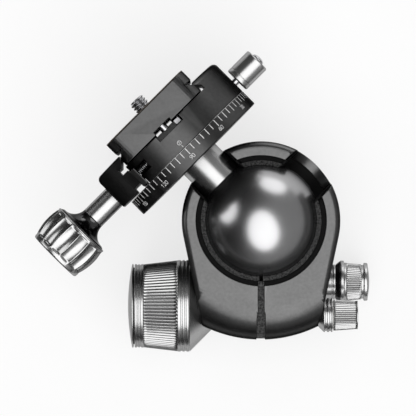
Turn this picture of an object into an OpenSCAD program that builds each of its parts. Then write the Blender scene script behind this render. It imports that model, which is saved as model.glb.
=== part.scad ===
// Tripod ball head with a panning base, a split housing, a panoramic dovetail clamp and a
// camera plate. Millimetres, +Z up, origin where the tripod screw enters the base. The ball
// lies in its left drop notch, as in the photograph, which looks straight down on the head.

/* [Ball and stem] */
// Diameter of the ball
ball_d = 44; // [42:0.5:46]
// Radial gap between the ball and its liner
ball_fit = 0.05; // [0.03:0.01:0.1]
// Diameter of the stem
stem_d = 16.4; // [15:0.2:17]
// Free length between the housing wall and the scale disc
stem_gap = 3; // [2.5:0.1:5]
// Diameter of the bolt that holds the disc and stem to the ball
stem_bolt_d = 6; // [5:0.5:6]
// Depth of the bolt's thread in the ball
stem_bolt_grip = 12; // [9:1:15]
// Width across the flats of the bolt's socket
stem_bolt_key = 5; // [4:0.5:5]

/* [Base] */
// Radius of the base plate
base_r = 27; // [26.8:0.1:28]
// Thickness of the base plate
base_h = 7; // [6:0.5:10]
// Chamfer on the edges of the base plate
base_edge = 0.8; // [0.4:0.1:1.2]
// Radius of the spigot that the housing turns on
spigot_r = 21.5; // [20.5:0.1:21.7]
// Thickness of the lower pan washer
pan_washer_h = 0.5; // [0.3:0.1:1]
// Thickness of the upper pan washer
lift_washer_h = 0.4; // [0.3:0.1:0.8]
// Height of the bearing ring in the housing
ring_h = 7.5; // [7:0.1:9]
// Radius of the retaining disc on the spigot
retainer_r = 24.3; // [23.8:0.1:24.4]
// Thickness of the retaining disc
retainer_h = 1.6; // [1.4:0.1:2.5]
// Gap between the retaining disc and the ball
ball_floor_gap = 1; // [0.6:0.1:2]
// Radius of the tripod thread's wall
tripod_thread_r = 3.97; // [3.9:0.01:4.1]
// Radius of the steel insert
insert_r = 7.5; // [6.5:0.1:8.5]
// Radius of the insert's flange
insert_flange_r = 10; // [9.5:0.1:11]
// Thickness of the insert's flange
insert_flange_h = 2; // [1.5:0.1:2.5]
// Length of the insert under its flange
insert_h = 10; // [8:0.5:11]
// Number of retainer screws
retainer_screws_n = 3; // [3:1:6]
// Circle radius of the retainer screws
retainer_screws_pcr = 16; // [15:0.1:17]
// Length of the retainer screws
retainer_screw_l = 9; // [6:0.5:10]

/* [Housing] */
// Height of the top face above the ball's centre
lip_rise = 8; // [7:0.1:9]
// Thickness of the liner at the ball's equator
liner_wall = 3.8; // [3.2:0.1:4.5]
// Radius of the hole in the foot of the liner
liner_foot_r = 17; // [15:0.1:18]
// Thickness of the housing wall
housing_wall = 3.4; // [3:0.1:5]
// Taper of each side in plan, in degrees
side_taper = 12; // [10:0.5:14]
// Reach of the front face from the pan axis
front_reach = 44.3; // [43.5:0.1:47]
// Radius of the front face in plan
front_arc_r = 48; // [44:0.5:56]
// Rounding of the front top edge
front_round = 13; // [8:0.5:14]
// Rounding of the other top edges
top_round = 2.5; // [1.5:0.1:3]
// Chamfer at the foot of the housing
foot_edge = 0.8; // [0.4:0.1:1.2]
// Thickness of the lip that holds the liner down
lip_t = 2.5; // [2:0.1:3]
// Width of the lip
lip_w = 1.8; // [1.4:0.1:2]
// Width of the liner's visible rim
rim_w = 1.75; // [1.5:0.05:2]
// Gap on each side of the black band
band_gap = 0.1; // [0.05:0.05:0.2]
// Depth of the black band below the top face
band_drop = 0.2; // [0.1:0.1:0.6]
// Angle between the black band and a notch, in degrees
band_margin = 4; // [3:0.5:7]
// Width of the clamping slot
slot_w = 2.3; // [1.8:0.1:3]
// Width of the slot's mouth
slot_mouth_w = 3.1; // [3:0.1:4]
// Length of the slot's mouth
slot_mouth_l = 10.3; // [8:0.1:12]
// Width of the split in the liner
split_w = 1.3; // [1:0.1:1.8]
// Radial gap between the stem and a drop notch
notch_gap = 0.5; // [0.4:0.05:1]
// Widening of a drop notch at the top face
notch_flare = 0.9; // [0.5:0.1:1.2]
// Height over which a drop notch widens
notch_flare_h = 3; // [2:0.1:4]
// Depth of the filler in the slot below the surface
filler_drop = 0.4; // [0.2:0.1:0.8]

/* [Main lock knob] */
// Diameter of the clamping screw
main_screw_d = 8; // [6:0.5:8]
// Height of the knob's axis above the foot of the housing
main_rise = 19.5; // [18:0.5:21]
// Wall between the ball bore and the screw hole
ear_wall = 1.7; // [1.4:0.1:3]
// Radius of the conical boss under the knob
boss_r = 17; // [15:0.1:17]
// Distance that the boss stands out of the side
boss_stand = 3.3; // [3.2:0.1:5]
// Length of the boss cone
boss_l = 8.5; // [7:0.1:10]
// Largest radius of the knob
main_knob_r = 17.1; // [16:0.1:17.1]
// Radius at the knob's outer end
main_knob_end_r = 15.6; // [14:0.1:15.6]
// Length of the smooth band next to the housing
main_band_l = 4.3; // [3:0.1:6]
// Length of the ridged grip
main_grip_l = 13; // [10:0.1:16]
// Length of the grooved end band
main_end_l = 3.2; // [2:0.1:4]
// Length of the domed cap
main_cap_l = 2.5; // [1.5:0.1:3]
// Number of ridges on the grip
main_ridges_n = 80; // [60:1:90]
// Depth of the ridges
main_ridge_h = 0.55; // [0.3:0.05:0.8]
// Radius of the barrel nut
barrel_nut_r = 5; // [4.8:0.1:5.2]
// Length of the barrel nut
barrel_nut_l = 12; // [10:0.5:13]
// Distance of the barrel nut from the slot's centre
barrel_nut_x = 12; // [11:0.5:13]

/* [Friction knob] */
// Diameter of the friction screw
friction_screw_d = 5; // [4:0.5:5]
// Distance of the friction axis in front of the main axis
friction_ahead = 3.2; // [2:0.1:4]
// Height of the friction axis above the main axis
friction_rise = 10; // [9.8:0.1:11]
// Radius of the collar
friction_collar_r = 6.3; // [5.5:0.1:6.5]
// Length of the collar outside its cone
friction_collar_l = 3.2; // [2.5:0.1:4]
// Radius of the knob at its inner end
friction_knob_r = 5.9; // [5:0.1:6.2]
// Radius of the knob at its outer end
friction_knob_end_r = 5.3; // [4.8:0.1:5.8]
// Length of the knob
friction_knob_l = 9; // [8:0.1:12]
// Number of ridges on the knob
friction_ridges_n = 40; // [24:1:44]

/* [Pan lock knob] */
// Diameter of the pan lock screw
pan_screw_d = 6; // [5:0.5:6]
// Distance of the screw's axis outside the spigot
pan_screw_out = 1.7; // [1.5:0.1:1.9]
// Radius of the collar
pan_collar_r = 6.5; // [6:0.1:7]
// Length of the collar that shows
pan_collar_l = 3.4; // [3:0.1:4]
// Length of the black ring
pan_ring_l = 1.7; // [1.2:0.1:2.5]
// Radius of the knob's flange
pan_knob_r = 8; // [7.5:0.1:8]
// Length of the knob
pan_knob_l = 11; // [9:0.1:13]
// Radius of the knob's grip
pan_grip_r = 7.1; // [6.5:0.1:7.3]
// Radius at the outer end of the grip
pan_grip_end_r = 6.5; // [6:0.1:6.8]
// Number of ridges on the knob
pan_ridges_n = 44; // [30:1:48]

/* [Panoramic disc] */
// Radius of the scale disc and of the clamp body
disc_r = 29.1; // [28.5:0.1:30]
// Thickness of the scale disc
disc_h = 6.4; // [6:0.1:8]
// Radius of the hub inside the clamp
hub_r = 9.5; // [9:0.1:9.8]
// Height of the hub
hub_h = 6.5; // [6.2:0.1:6.6]
// Thickness of the bearing washer
glide_h = 0.7; // [0.5:0.1:1]
// Gap between the disc and the clamp body
glide_gap = 0.1; // [0.05:0.05:0.2]
// Inner radius of the bearing washer
glide_in_r = 13; // [12:0.5:15]
// Outer radius of the bearing washer
glide_out_r = 22; // [18:0.5:24]

/* [Clamp] */
// Height of the clamp body and its fixed jaw
clamp_h = 15; // [14.8:0.1:16]
// Depth of the channel below the fixed jaw's top
channel_depth = 4.7; // [4.6:0.1:5]
// Depth of the stop groove below the channel floor
groove_depth = 2.6; // [2.2:0.1:2.7]
// Width of the stop groove
groove_w = 11.8; // [9:0.1:13]
// Length of the web across the middle of the groove
groove_web_l = 20; // [12:1:30]
// Rounding of the fixed jaw's outer edge
clamp_round = 2; // [1:0.1:2.5]
// Distance from the stem axis to the parting face
parting_w = 19.1; // [18.5:0.1:19.5]
// Gap between the body and the movable jaw
parting_gap = 0.4; // [0.3:0.05:0.6]
// Thickness of the movable jaw outside the parting face
jaw_t = 12.7; // [11:0.1:14]
// Length of the movable jaw
jaw_l = 59; // [50:0.5:60]
// Distance from the jaw's outer face to the sweep about the stem that rounds its ends
jaw_sweep_gap = 3.3; // [2:0.1:5]
// Side of the square reliefs in the jaw
relief_w = 3; // [2.6:0.1:3.2]
// Diameter of the guide pins
guide_d = 4; // [3:0.1:4.4]
// Distance between the guide pins
guide_pitch = 26; // [22:0.5:27]
// Diameter of the jaw screw
jaw_screw_d = 6; // [5:0.5:6]
// Outer diameter of a release spring
spring_d = 3.3; // [3:0.1:3.5]
// Diameter of the spring wire
spring_wire_d = 0.44; // [0.36:0.02:0.44]
// Number of turns in a spring
spring_turns = 4; // [3:1:4]
// Length of a release spring at rest
spring_l = 4.9; // [4.9:0.1:6]

/* [Clamp knob] */
// Radius of the knob's shaft
shaft_r = 4.45; // [4:0.05:5]
// Length of the knob's shaft
shaft_l = 11; // [8:0.1:14]
// Length of the black flare
flare_l = 5.9; // [4:0.1:7]
// Radius of the knob where it meets the flare
barrel_root_r = 11; // [10:0.1:12]
// Largest radius of the knob
barrel_r = 12; // [11.5:0.1:13]
// Radius at the knob's outer end
barrel_end_r = 10.6; // [9.5:0.1:11.4]
// Length of the knob
barrel_l = 14.4; // [12:0.1:17]
// Number of flutes on the knob
flutes_n = 15; // [10:1:18]
// Radius of a flute
flute_r = 2.1; // [1.5:0.1:2.3]
// Depth of a flute
flute_depth = 1.1; // [0.6:0.1:1.3]
// Width of the smooth rims
barrel_rim = 1.5; // [1:0.1:2.5]

/* [Clamp pan lock] */
// Diameter of the small knob
nip_knob_d = 9.8; // [8.5:0.1:10]
// Length of the small knob
nip_knob_l = 10.8; // [9:0.1:13]
// Gap between the small knob and the clamp body
nip_gap = 1.3; // [1:0.1:2]
// Diameter of its screw
nip_screw_d = 2.8; // [2.5:0.1:3]
// Diameter of the screw's domed head
nip_head_d = 4.8; // [4:0.1:5.5]
// Height of the screw's domed head
nip_head_h = 1.3; // [1:0.1:1.6]
// Diameter of the brass shoe
nip_shoe_d = 4; // [3.5:0.1:4.2]
// Length of the brass shoe
nip_shoe_l = 5; // [4:0.1:6]

/* [Camera plate] */
// Width of the plate
plate_w = 38.7; // [38:0.1:39]
// Length of the plate
plate_l = 60; // [50:1:70]
// Rounding of the plate's four corners
plate_round = 6; // [3:0.5:8]
// Height of the plate with its pad
plate_h = 10.3; // [9.8:0.1:12]
// Thickness of the pad
pad_t = 0.4; // [0.3:0.1:1]
// Height of the plate's flange with its pad
flange_h = 4.8; // [4.3:0.1:5]
// Depth of the dovetail flank
flank = 2.8; // [2.5:0.1:2.9]
// Distance from the stem axis to the fixed jaw side of the plate
plate_side_w = 18.1; // [17.9:0.1:18.3]
// Gap between the plate and the jaws
plate_fit = 0.05; // [0.03:0.01:0.08]
// Gap between the plate and the channel floor
plate_floor_gap = 0.2; // [0.1:0.05:0.3]
// Diameter of the camera screw
camera_screw_d = 6.35; // [6.35:0.01:9.5]
// Height of the camera screw above the pad
camera_screw_rise = 5; // [4.5:0.1:5.5]
// Diameter of the camera screw's head
camera_head_d = 12.4; // [11:0.1:13]
// Travel of the camera screw each way along its slot
slot_travel = 9; // [5:0.5:11]
// Diameter of the stop screws
stop_screw_d = 3; // [2.5:0.1:3.5]
// Distance between the stop screws
stop_screw_pitch = 52; // [46:1:54]

/* [Hidden] */
$fn = 96;

// Shared clearances and overruns
over = 1;
run_fit = 0.05;
seat_gap = 0.1;
far = 200;

// Heights of the stack on the pan axis
housing_z = base_h + pan_washer_h;
ring_top = housing_z + ring_h;
retainer_z = ring_top + lift_washer_h;
ball_r = ball_d / 2;
ball_z = retainer_z + retainer_h + ball_floor_gap + ball_r;
top_z = ball_z + lip_rise;
lip_z = top_z - lip_t;
housing_h = top_z - housing_z;

// Radii around the pan axis
cup_r = ball_r + ball_fit;
liner_r = cup_r + liner_wall;
bore_r = liner_r + run_fit;
housing_r = bore_r + housing_wall;
lip_r = bore_r - lip_w;
rim_in_r = sqrt(cup_r * cup_r - lip_rise * lip_rise);
rim_r = rim_in_r + rim_w;
ring_r = bore_r - run_fit;
ring_in_r = spigot_r + run_fit;
retainer_gap = 0.3;
wall_in_r = retainer_r + retainer_gap;
ring_wall_h = 4.5;
liner_z = ring_top + ring_wall_h;

// Base details
retainer_screw_r = 1.5;
retainer_head_r = 2.8;
retainer_hole_r = 6;
washer_in = 0.3;
scale_edge = 1.2;

// Side faces: each is a plane at housing_r from the pan axis, turned by the taper
function side_x(y) = (housing_r - y * sin(side_taper)) / cos(side_taper);

// Radial screws that hold the bearing ring in the housing
ring_screw_angles = [90, 195, 345];
ring_screw_r = 1.5;
ring_screw_key = 1.5;
ring_screw_grip = 2;
ring_screw_sink = 0.6;

// Main lock
main_r = main_screw_d / 2;
screw_clear = 0.3;
main_y = bore_r + ear_wall + main_r + screw_clear;
boss_x = side_x(main_y) + boss_stand;
main_washer_h = 0.6;
main_washer_r = 9;
knob_relief = 0.4;
grip_inset = 0.1;
main_z = housing_z + main_rise;
knob_face_x = boss_x + seat_gap;
knob_hub_x = boss_x + main_washer_h;
knob_grip_x = boss_x + main_band_l;
knob_end_x = knob_grip_x + main_grip_l;
knob_cap_x = knob_end_x + main_end_l;
knob_tip_x = knob_cap_x + main_cap_l;
knob_wall = 3;
knob_hub_r = 9.5;
knob_groove_w = 0.7;
knob_groove_h = 0.5;
main_head_r = 6.5;
main_head_h = 5;
main_head_x = knob_end_x - main_head_h;
main_screw_tip = barrel_nut_x + barrel_nut_r;
cap_plug_h = 2;
dome_r = (main_knob_end_r * main_knob_end_r + main_cap_l * main_cap_l) / (2 * main_cap_l);

// Friction knob
friction_r = friction_screw_d / 2;
friction_y = main_y + friction_ahead;
friction_z = main_z + friction_rise;
friction_cone_l = 2.1;
friction_sink = 1.2;
friction_seat_x = side_x(friction_y) - friction_sink;
friction_collar_x = friction_seat_x + friction_cone_l;
friction_face_x = friction_collar_x + friction_collar_l;
friction_washer_h = 0.4;
friction_knob_x = friction_face_x + friction_washer_h;
friction_end_x = friction_knob_x + friction_knob_l;
friction_tip_x = 12;
friction_ridge_h = 0.3;
friction_rib_h = 0.4;
friction_rib_w = 0.8;
knob_bite = 3;

// Pan lock
pan_r = pan_screw_d / 2;
pan_y = spigot_r + pan_screw_out;
pan_z = housing_z + ring_h / 2;
pan_seat_x = side_x(pan_y + pan_collar_r) - seat_gap;
pan_collar_x = side_x(pan_y) + pan_collar_l;
pan_knob_x = pan_collar_x + seat_gap + pan_ring_l;
pan_end_x = pan_knob_x + pan_knob_l;
pan_flange_l = 1.3;
pan_neck_l = 0.9;
pan_rim_l = 1.3;
pan_dome_l = 0.5;
pan_ridge_h = 0.3;
pan_neck_depth = 0.5;
pan_plug_wall = 1.5;
pan_plug_x = slot_w / 2 + pan_plug_wall;
pan_plug_l = 15.4;
pan_screw_x = pan_plug_x + pan_plug_l;

// Stem frame: local X is across the clamp, local Z runs along the stem away from the ball,
// and local Y points down, so the side that the photograph shows faces local -Y
notch_angles = [45, 135];
stem_angle = notch_angles[1];
stem_r = stem_d / 2;
notch_r = stem_r + notch_gap;
band_cut_r = lip_r * sin(asin(notch_r / lip_r) + band_margin) - notch_flare;
stem_root = sqrt(ball_r * ball_r - stem_r * stem_r);
disc_z = housing_r + stem_gap;
disc_top = disc_z + disc_h;
stem_bolt_r = stem_bolt_d / 2;
stem_spigot_r = 5.5;
stem_spigot_h = 1.5;
stem_head_r = 5;
stem_head_h = 6;
hub_top = disc_top + hub_h;
stem_head_z = hub_top - stem_head_h;
socket_depth = 3;
disc_edge = 0.3;

// Clamp heights along the stem
clamp_z = disc_top + glide_gap;
clamp_top = clamp_z + clamp_h;
floor_z = clamp_top - channel_depth;
groove_z = floor_z - groove_depth;
hub_room_z = hub_top + 2 * seat_gap;
plate_z = floor_z + plate_floor_gap;
plate_top = plate_z + plate_h;
pad_z = plate_top - pad_t;
flange_z = plate_top - flange_h;
shoulder_z = flange_z - flank;
plate_left_w = plate_side_w - plate_w;
plate_mid_w = plate_side_w - plate_w / 2;

// Flank lines: the plate's neck is one flank depth in from each side, and the jaws follow
// the same 45 degree lines at the fit gap
fit_shift = plate_fit * sqrt(2);
neck_right_w = plate_side_w - flank;
neck_left_w = plate_left_w + flank;
function right_flank(z) = neck_right_w + (flange_z - z) + fit_shift;
function left_flank(z) = neck_left_w - (flange_z - z) - fit_shift;
lip_chamfer = 0.6;
toe_gap = 1.6;
toe_z = shoulder_z - toe_gap + fit_shift;
foot_w = right_flank(toe_z);
recess_depth = 0.25;
recess_w = 19.6;

// Movable jaw
jaw_face_w = parting_w + parting_gap;
jaw_out_w = jaw_face_w + jaw_t;
jaw_sweep_r = jaw_out_w + jaw_sweep_gap;
jaw_drop = 0.4;
jaw_top = clamp_top - jaw_drop;
jaw_lift = 0.5;
jaw_z = clamp_z + jaw_lift;
jaw_round = 2;
ledge_reach = 2.2;
ledge_w = parting_w + ledge_reach;
ledge_h = 2.3;
ledge_z = floor_z - ledge_h;
tongue_gap = 0.2;
relief_drop = 1.6;
relief_z = floor_z - relief_drop;
relief_rise = 0.7;
relief_top = floor_z + relief_rise;
lower_relief_out = 2.1;
lower_relief_w = jaw_face_w + lower_relief_out;
lower_relief_h = 1.8;
guide_r = guide_d / 2;
guide_lift = 4.6;
guide_z = clamp_z + guide_lift;
guide_grip = 11.1;
guide_in_w = parting_w - guide_grip;
guide_reach = 8;
guide_out_w = jaw_face_w + guide_reach;
jaw_screw_r = jaw_screw_d / 2;
jaw_screw_lift = 5.8;
jaw_screw_z = clamp_z + jaw_screw_lift;
jaw_screw_wall = 0.7;
jaw_screw_tip_w = hub_r + jaw_screw_wall;
spring_r = spring_d / 2;
wire_r = spring_wire_d / 2;
spring_room = 0.3;
spring_lift = 5.6;
spring_z = clamp_z + spring_lift;
spring_in_w = jaw_face_w - spring_l;
parting_chord = 2 * sqrt(disc_r * disc_r - parting_w * parting_w);
spring_end = 4.9;
spring_pitch = parting_chord - spring_end;
spring_rings = 8;
wire_sides = 6;
coil_l = spring_l - 2 * spring_wire_d - 2 * wire_r;
coil_r = spring_r - wire_r;
coil_steps = spring_turns * spring_rings;

// Clamp knob
shaft_end_w = jaw_out_w + seat_gap + shaft_l;
flare_end_w = shaft_end_w + flare_l;
barrel_round = 1.2;
flare_rise = barrel_root_r - shaft_r;
flare_lip = 0.6;
flare_r = min(flare_rise, flare_l - flare_lip);

// Clamp pan lock
nip_lift = 4.2;
nip_z = clamp_z + nip_lift;
nip_r = nip_screw_d / 2;
nip_shoe_r = nip_shoe_d / 2;
nip_shoe_gap = 0.3;
nip_shoe_w = hub_r + nip_shoe_gap;
nip_tip_l = 1.2;
nip_tip_r = 0.3;
nip_knob_w = disc_r + nip_gap;
nip_end_w = nip_knob_w + nip_knob_l;
nip_travel = 1;
nip_groove = 1.3;
nip_edge = 0.4;
nip_dome_r = (pow(nip_head_d / 2, 2) + nip_head_h * nip_head_h) / (2 * nip_head_h);

// Camera plate
bottom_groove_w = 7.8;
bottom_groove_h = 1.2;
camera_r = camera_screw_d / 2;
camera_neck = 0.5;
camera_neck_r = camera_r - camera_neck;
camera_tip = 0.4;
camera_slot_w = 1.6;
camera_slot_h = 1.4;
camera_head_r = camera_head_d / 2;
camera_head_h = 3.2;
clip_h = 0.6;
slot_floor_drop = 3.1;
slot_floor_z = pad_z - slot_floor_drop;
camera_head_z = slot_floor_z - clip_h - camera_head_h;
slot_gap = 0.2;
stop_screw_r = stop_screw_d / 2;
stop_screw_out = 1.2;
stop_screw_in = 3.5;
key_w = 2.4;
key_h = 2;
key_gap = 0.6;
key_side = groove_w / 2 - key_gap - key_w;
key_inset = 4;
key_end = sqrt(disc_r * disc_r - groove_w * groove_w / 4) - key_inset;

// Shapes shared by several pieces

// Points on an arc about [x, y], from angle a to angle b
function arc(x, y, r, a, b, n) = [for (i = [0:n]) let (t = a + (b - a) * i / n)
  [x + r * cos(t), y + r * sin(t)]];

// Star outline of n ridges, each as deep as depth
function ridges(r, depth, n) = [for (i = [0:n - 1], s = [0, 1]) let (t = (i + s / 2) * 360 / n)
  [(r - depth * s) * cos(t), (r - depth * s) * sin(t)]];

// A ridged grip from radius r to end_r, its ridges a little lower than the bands beside it
module grip(r, end_r, l, depth, n) linear_extrude(l, scale = (end_r - grip_inset) / (r - grip_inset))
  polygon(ridges(r - grip_inset, depth, n));

module left_of_main() translate([0, -main_y, main_z]) rotate([0, -90, 0]) children();
module right_of_friction() translate([0, -friction_y, friction_z]) rotate([0, 90, 0]) children();
module right_of_pan() translate([0, -pan_y, pan_z]) rotate([0, 90, 0]) children();
module in_stem() translate([0, 0, ball_z]) rotate([-90, 0, stem_angle - 90]) children();
module across(w, z) translate([w, 0, z]) rotate([0, 90, 0]) children();
module rod(r, from, to) translate([0, 0, from]) cylinder(h = to - from, r = r);
module tube(r_in, r_out, from, to) difference() {
  rod(r_out, from, to);
  rod(r_in, from - over, to + over);
}

// Section of the housing from the pan axis to a wall at reach, rounded at its top
module wall_section(reach, rounding, height, back) difference() {
  union() {
    translate([-back, 0]) square([back + reach, height - rounding]);
    translate([-back, 0]) square([back + reach - rounding, height]);
    translate([reach - rounding, height - rounding]) circle(r = rounding);
  }
  polygon([[reach - foot_edge, -over], [reach - foot_edge, 0], [reach, foot_edge],
    [reach + over, foot_edge], [reach + over, -over]]);
}

// A side of the front half: one long wall, turned to the taper
module side_slab(angle, inset) rotate([0, 0, angle]) rotate([90, 0, 0])
  linear_extrude(far, center = true)
    wall_section(housing_r - inset, top_round, housing_h - inset, far);

// The front half, from the two radial planes where the sides leave the round wall
module front_block(inset) intersection() {
  side_slab(-side_taper, inset);
  side_slab(180 + side_taper, inset);
  translate([0, front_arc_r - front_reach, 0]) rotate_extrude()
    wall_section(front_arc_r - inset, front_round, housing_h - inset, 0);
  translate([0, 0, -over]) linear_extrude(far) polygon([[0, 0],
    far * [cos(side_taper), -sin(side_taper)], far * [1, -1], far * [-1, -1],
    far * [-cos(side_taper), -sin(side_taper)]]);
}

// The round back half, which meets the front half on the same planes
module back_block() rotate([0, 0, -side_taper]) rotate_extrude(angle = 180 + 2 * side_taper)
  wall_section(housing_r, top_round, housing_h, 0);

// Section of a drop notch: a round floor, upright walls and a widened mouth
module notch_section(r) {
  circle(r = r);
  polygon([[-r, 0], [r, 0], [r, lip_rise - notch_flare_h], [r + notch_flare, lip_rise],
    [r + notch_flare, lip_rise + over], [-r - notch_flare, lip_rise + over],
    [-r - notch_flare, lip_rise], [-r, lip_rise - notch_flare_h]]);
}
module notch(angle, r) translate([0, 0, ball_z]) rotate([90, 0, angle + 90])
  linear_extrude(2 * housing_r) notch_section(r);

// Pan base

module base_plate() color("#2a2b2d") difference() {
  union() {
    rotate_extrude() polygon([[0, 0], [base_r - base_edge, 0], [base_r, base_edge],
      [base_r, base_h - scale_edge], [base_r - scale_edge, base_h], [0, base_h]]);
    rod(spigot_r, base_h - over, retainer_z);
  }
  rod(insert_r + run_fit, -over, insert_h);
  rod(insert_flange_r + run_fit, insert_h, retainer_z + over);
  for (i = [1:retainer_screws_n]) rotate(i * 360 / retainer_screws_n)
    translate([retainer_screws_pcr, 0, 0])
      rod(retainer_screw_r + run_fit, retainer_z + retainer_h - retainer_screw_l - over, far);
}

module thread_insert() color("#b9bcc0") difference() {
  union() {
    rod(insert_r, 0, insert_h);
    rod(insert_flange_r, insert_h, insert_h + insert_flange_h);
  }
  rod(tripod_thread_r, -over, far);
}

module pan_washer() color("#e8e6df")
  tube(spigot_r + washer_in, ring_r - washer_in, base_h, housing_z);

module lift_washer() color("#e8e6df")
  tube(spigot_r + washer_in, retainer_r - washer_in, ring_top, retainer_z);

module retainer() color("#8e9196") difference() {
  rod(retainer_r, retainer_z, retainer_z + retainer_h);
  rod(retainer_hole_r, 0, far);
  for (i = [1:retainer_screws_n]) rotate(i * 360 / retainer_screws_n)
    translate([retainer_screws_pcr, 0, 0]) {
      rod(retainer_screw_r + run_fit, 0, far);
      translate([0, 0, retainer_z + retainer_h - retainer_head_r + retainer_screw_r])
        cylinder(h = retainer_head_r - retainer_screw_r + run_fit,
          r1 = retainer_screw_r + run_fit, r2 = retainer_head_r + 2 * run_fit);
    }
}

module retainer_screws() color("#c9ccd1")
  for (i = [1:retainer_screws_n]) rotate(i * 360 / retainer_screws_n)
    translate([retainer_screws_pcr, 0, retainer_z + retainer_h]) difference() {
      rotate_extrude() polygon([[0, -retainer_screw_l], [retainer_screw_r, -retainer_screw_l],
        [retainer_screw_r, retainer_screw_r - retainer_head_r], [retainer_head_r, 0], [0, 0]]);
      translate([0, 0, -retainer_screw_r]) cylinder(h = far, r = retainer_screw_r / 2);
    }

// Housing and what is fixed in it

module bearing_ring() color("#7e8186") difference() {
  rod(ring_r, housing_z, liner_z);
  rod(ring_in_r, 0, ring_top);
  rod(wall_in_r, ring_top, far);
  right_of_pan() rod(pan_r + run_fit, pan_plug_x - seat_gap, far);
  for (a = ring_screw_angles) rotate(a) translate([0, 0, pan_z]) rotate([0, 90, 0])
    rod(ring_screw_r + run_fit, ring_r - ring_screw_grip, far);
}

module ring_screws() color("#55585c")
  for (a = ring_screw_angles) rotate(a) translate([0, 0, pan_z]) rotate([0, 90, 0])
    difference() {
      rod(ring_screw_r, ring_r - ring_screw_grip, housing_r - ring_screw_sink);
      translate([0, 0, housing_r - ring_screw_sink - ring_screw_key])
        cylinder(h = far, d = ring_screw_key, $fn = 6);
    }

module housing() color("#303133") difference() {
  union() {
    translate([0, 0, housing_z]) {
      back_block();
      front_block(0);
    }
    left_of_main() translate([0, 0, boss_x - boss_l])
      cylinder(h = boss_l, r1 = boss_r - boss_l, r2 = boss_r);
  }
  rod(bore_r, 0, lip_z);
  rod(lip_r, 0, far);
  translate([-slot_w / 2, -far, 0]) cube([slot_w, far, far]);
  translate([-slot_mouth_w / 2, -far, 0])
    cube([slot_mouth_w, far - front_reach + slot_mouth_l, far]);
  for (a = notch_angles) notch(a, notch_r);
  left_of_main() {
    rod(boss_r + knob_relief, boss_x, far);
    rod(main_r + screw_clear, -main_screw_tip - over, boss_x + over);
  }
  translate([barrel_nut_x, -main_y, 0])
    rod(barrel_nut_r + run_fit, 0, main_z + barrel_nut_l / 2 + seat_gap);
  right_of_friction() {
    rod(friction_r + screw_clear, 0, far);
    rod(friction_r + run_fit, -friction_tip_x - over, over);
    collar_seat(seat_gap);
  }
  right_of_pan() {
    rod(pan_r + run_fit, pan_plug_x - seat_gap, far);
    rod(pan_collar_r + seat_gap, pan_seat_x, far);
  }
  for (a = ring_screw_angles) rotate(a) translate([0, 0, pan_z]) rotate([0, 90, 0])
    rod(ring_screw_r + run_fit, bore_r - over, far);
}

module ball_liner() color("#4a4b4e") difference() {
  rotate_extrude() difference() {
    union() {
      translate([0, liner_z]) square([liner_r, lip_z - seat_gap - liner_z]);
      square([rim_r, top_z]);
    }
    translate([0, ball_z]) circle(r = cup_r);
    square([liner_foot_r, ball_z]);
    square([far, liner_z]);
  }
  for (a = notch_angles) notch(a, notch_r);
  translate([-split_w / 2, -far, 0]) cube([split_w, far, far]);
}

module lip_band() color("#111214") difference() {
  rotate_extrude() translate([rim_r + band_gap, lip_z])
    square([lip_r - rim_r - 2 * band_gap, lip_t - band_drop]);
  for (a = notch_angles) notch(a, band_cut_r);
  translate([-slot_w / 2, -far, 0]) cube([slot_w, far, far]);
}

module slot_filler() color("#3c3d40") difference() {
  intersection() {
    translate([0, 0, housing_z]) front_block(filler_drop);
    union() {
      translate([run_fit - slot_w / 2, -far, 0]) cube([slot_w - 2 * run_fit, far, far]);
      translate([run_fit - slot_mouth_w / 2, -far, 0])
        cube([slot_mouth_w - 2 * run_fit, far - front_reach + slot_mouth_l - run_fit, far]);
    }
  }
  rod(bore_r + run_fit, 0, lip_z);
  rod(rim_r + band_gap, 0, far);
  left_of_main() rod(main_r + screw_clear, -far, far);
  right_of_friction() rod(friction_r + screw_clear, -far, far);
}

module barrel_nut() color("#a9adb2") difference() {
  translate([barrel_nut_x, -main_y, main_z - barrel_nut_l / 2])
    cylinder(h = barrel_nut_l, r = barrel_nut_r);
  left_of_main() rod(main_r + run_fit, -far, far);
}

// Main lock knob

module main_knob() color("#c3c6ca") left_of_main() difference() {
  union() {
    rod(main_knob_r, knob_face_x, knob_grip_x);
    translate([0, 0, knob_grip_x])
      grip(main_knob_r, main_knob_end_r, main_grip_l, main_ridge_h, main_ridges_n);
    rod(main_knob_end_r, knob_end_x, knob_cap_x);
  }
  for (s = [1, 2]) {
    tube(main_knob_r - knob_groove_h, far, knob_face_x + s * main_band_l / 3,
      knob_face_x + s * main_band_l / 3 + knob_groove_w);
    tube(main_knob_end_r - knob_groove_h, far, knob_end_x + s * main_end_l / 3 - knob_groove_w / 2,
      knob_end_x + s * main_end_l / 3 + knob_groove_w / 2);
  }
  rod(knob_hub_r, 0, knob_hub_x);
  rod(main_r + seat_gap, 0, far);
  rod(main_head_r + run_fit, main_head_x, far);
  tube(knob_hub_r, main_knob_end_r - knob_wall, knob_hub_x + knob_wall, far);
  rod(main_knob_end_r - knob_wall, knob_end_x, far);
}

module main_knob_cap() color("#b4b7bc") left_of_main() {
  intersection() {
    translate([0, 0, knob_tip_x - dome_r]) sphere(r = dome_r);
    rod(main_knob_end_r, knob_cap_x, knob_tip_x + over);
  }
  rod(main_knob_end_r - knob_wall - run_fit, knob_cap_x - cap_plug_h, knob_cap_x + seat_gap);
}

module main_screw() color("#9fa3a8") left_of_main() difference() {
  union() {
    rod(main_r, -main_screw_tip, main_head_x + over);
    rod(main_head_r, main_head_x, knob_end_x);
  }
  translate([0, 0, knob_end_x - socket_depth]) cylinder(h = far, r = main_r, $fn = 6);
}

module main_washer() color("#e8e6df") left_of_main()
  tube(main_r + seat_gap, main_washer_r, boss_x, knob_hub_x);

// Friction knob

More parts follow.
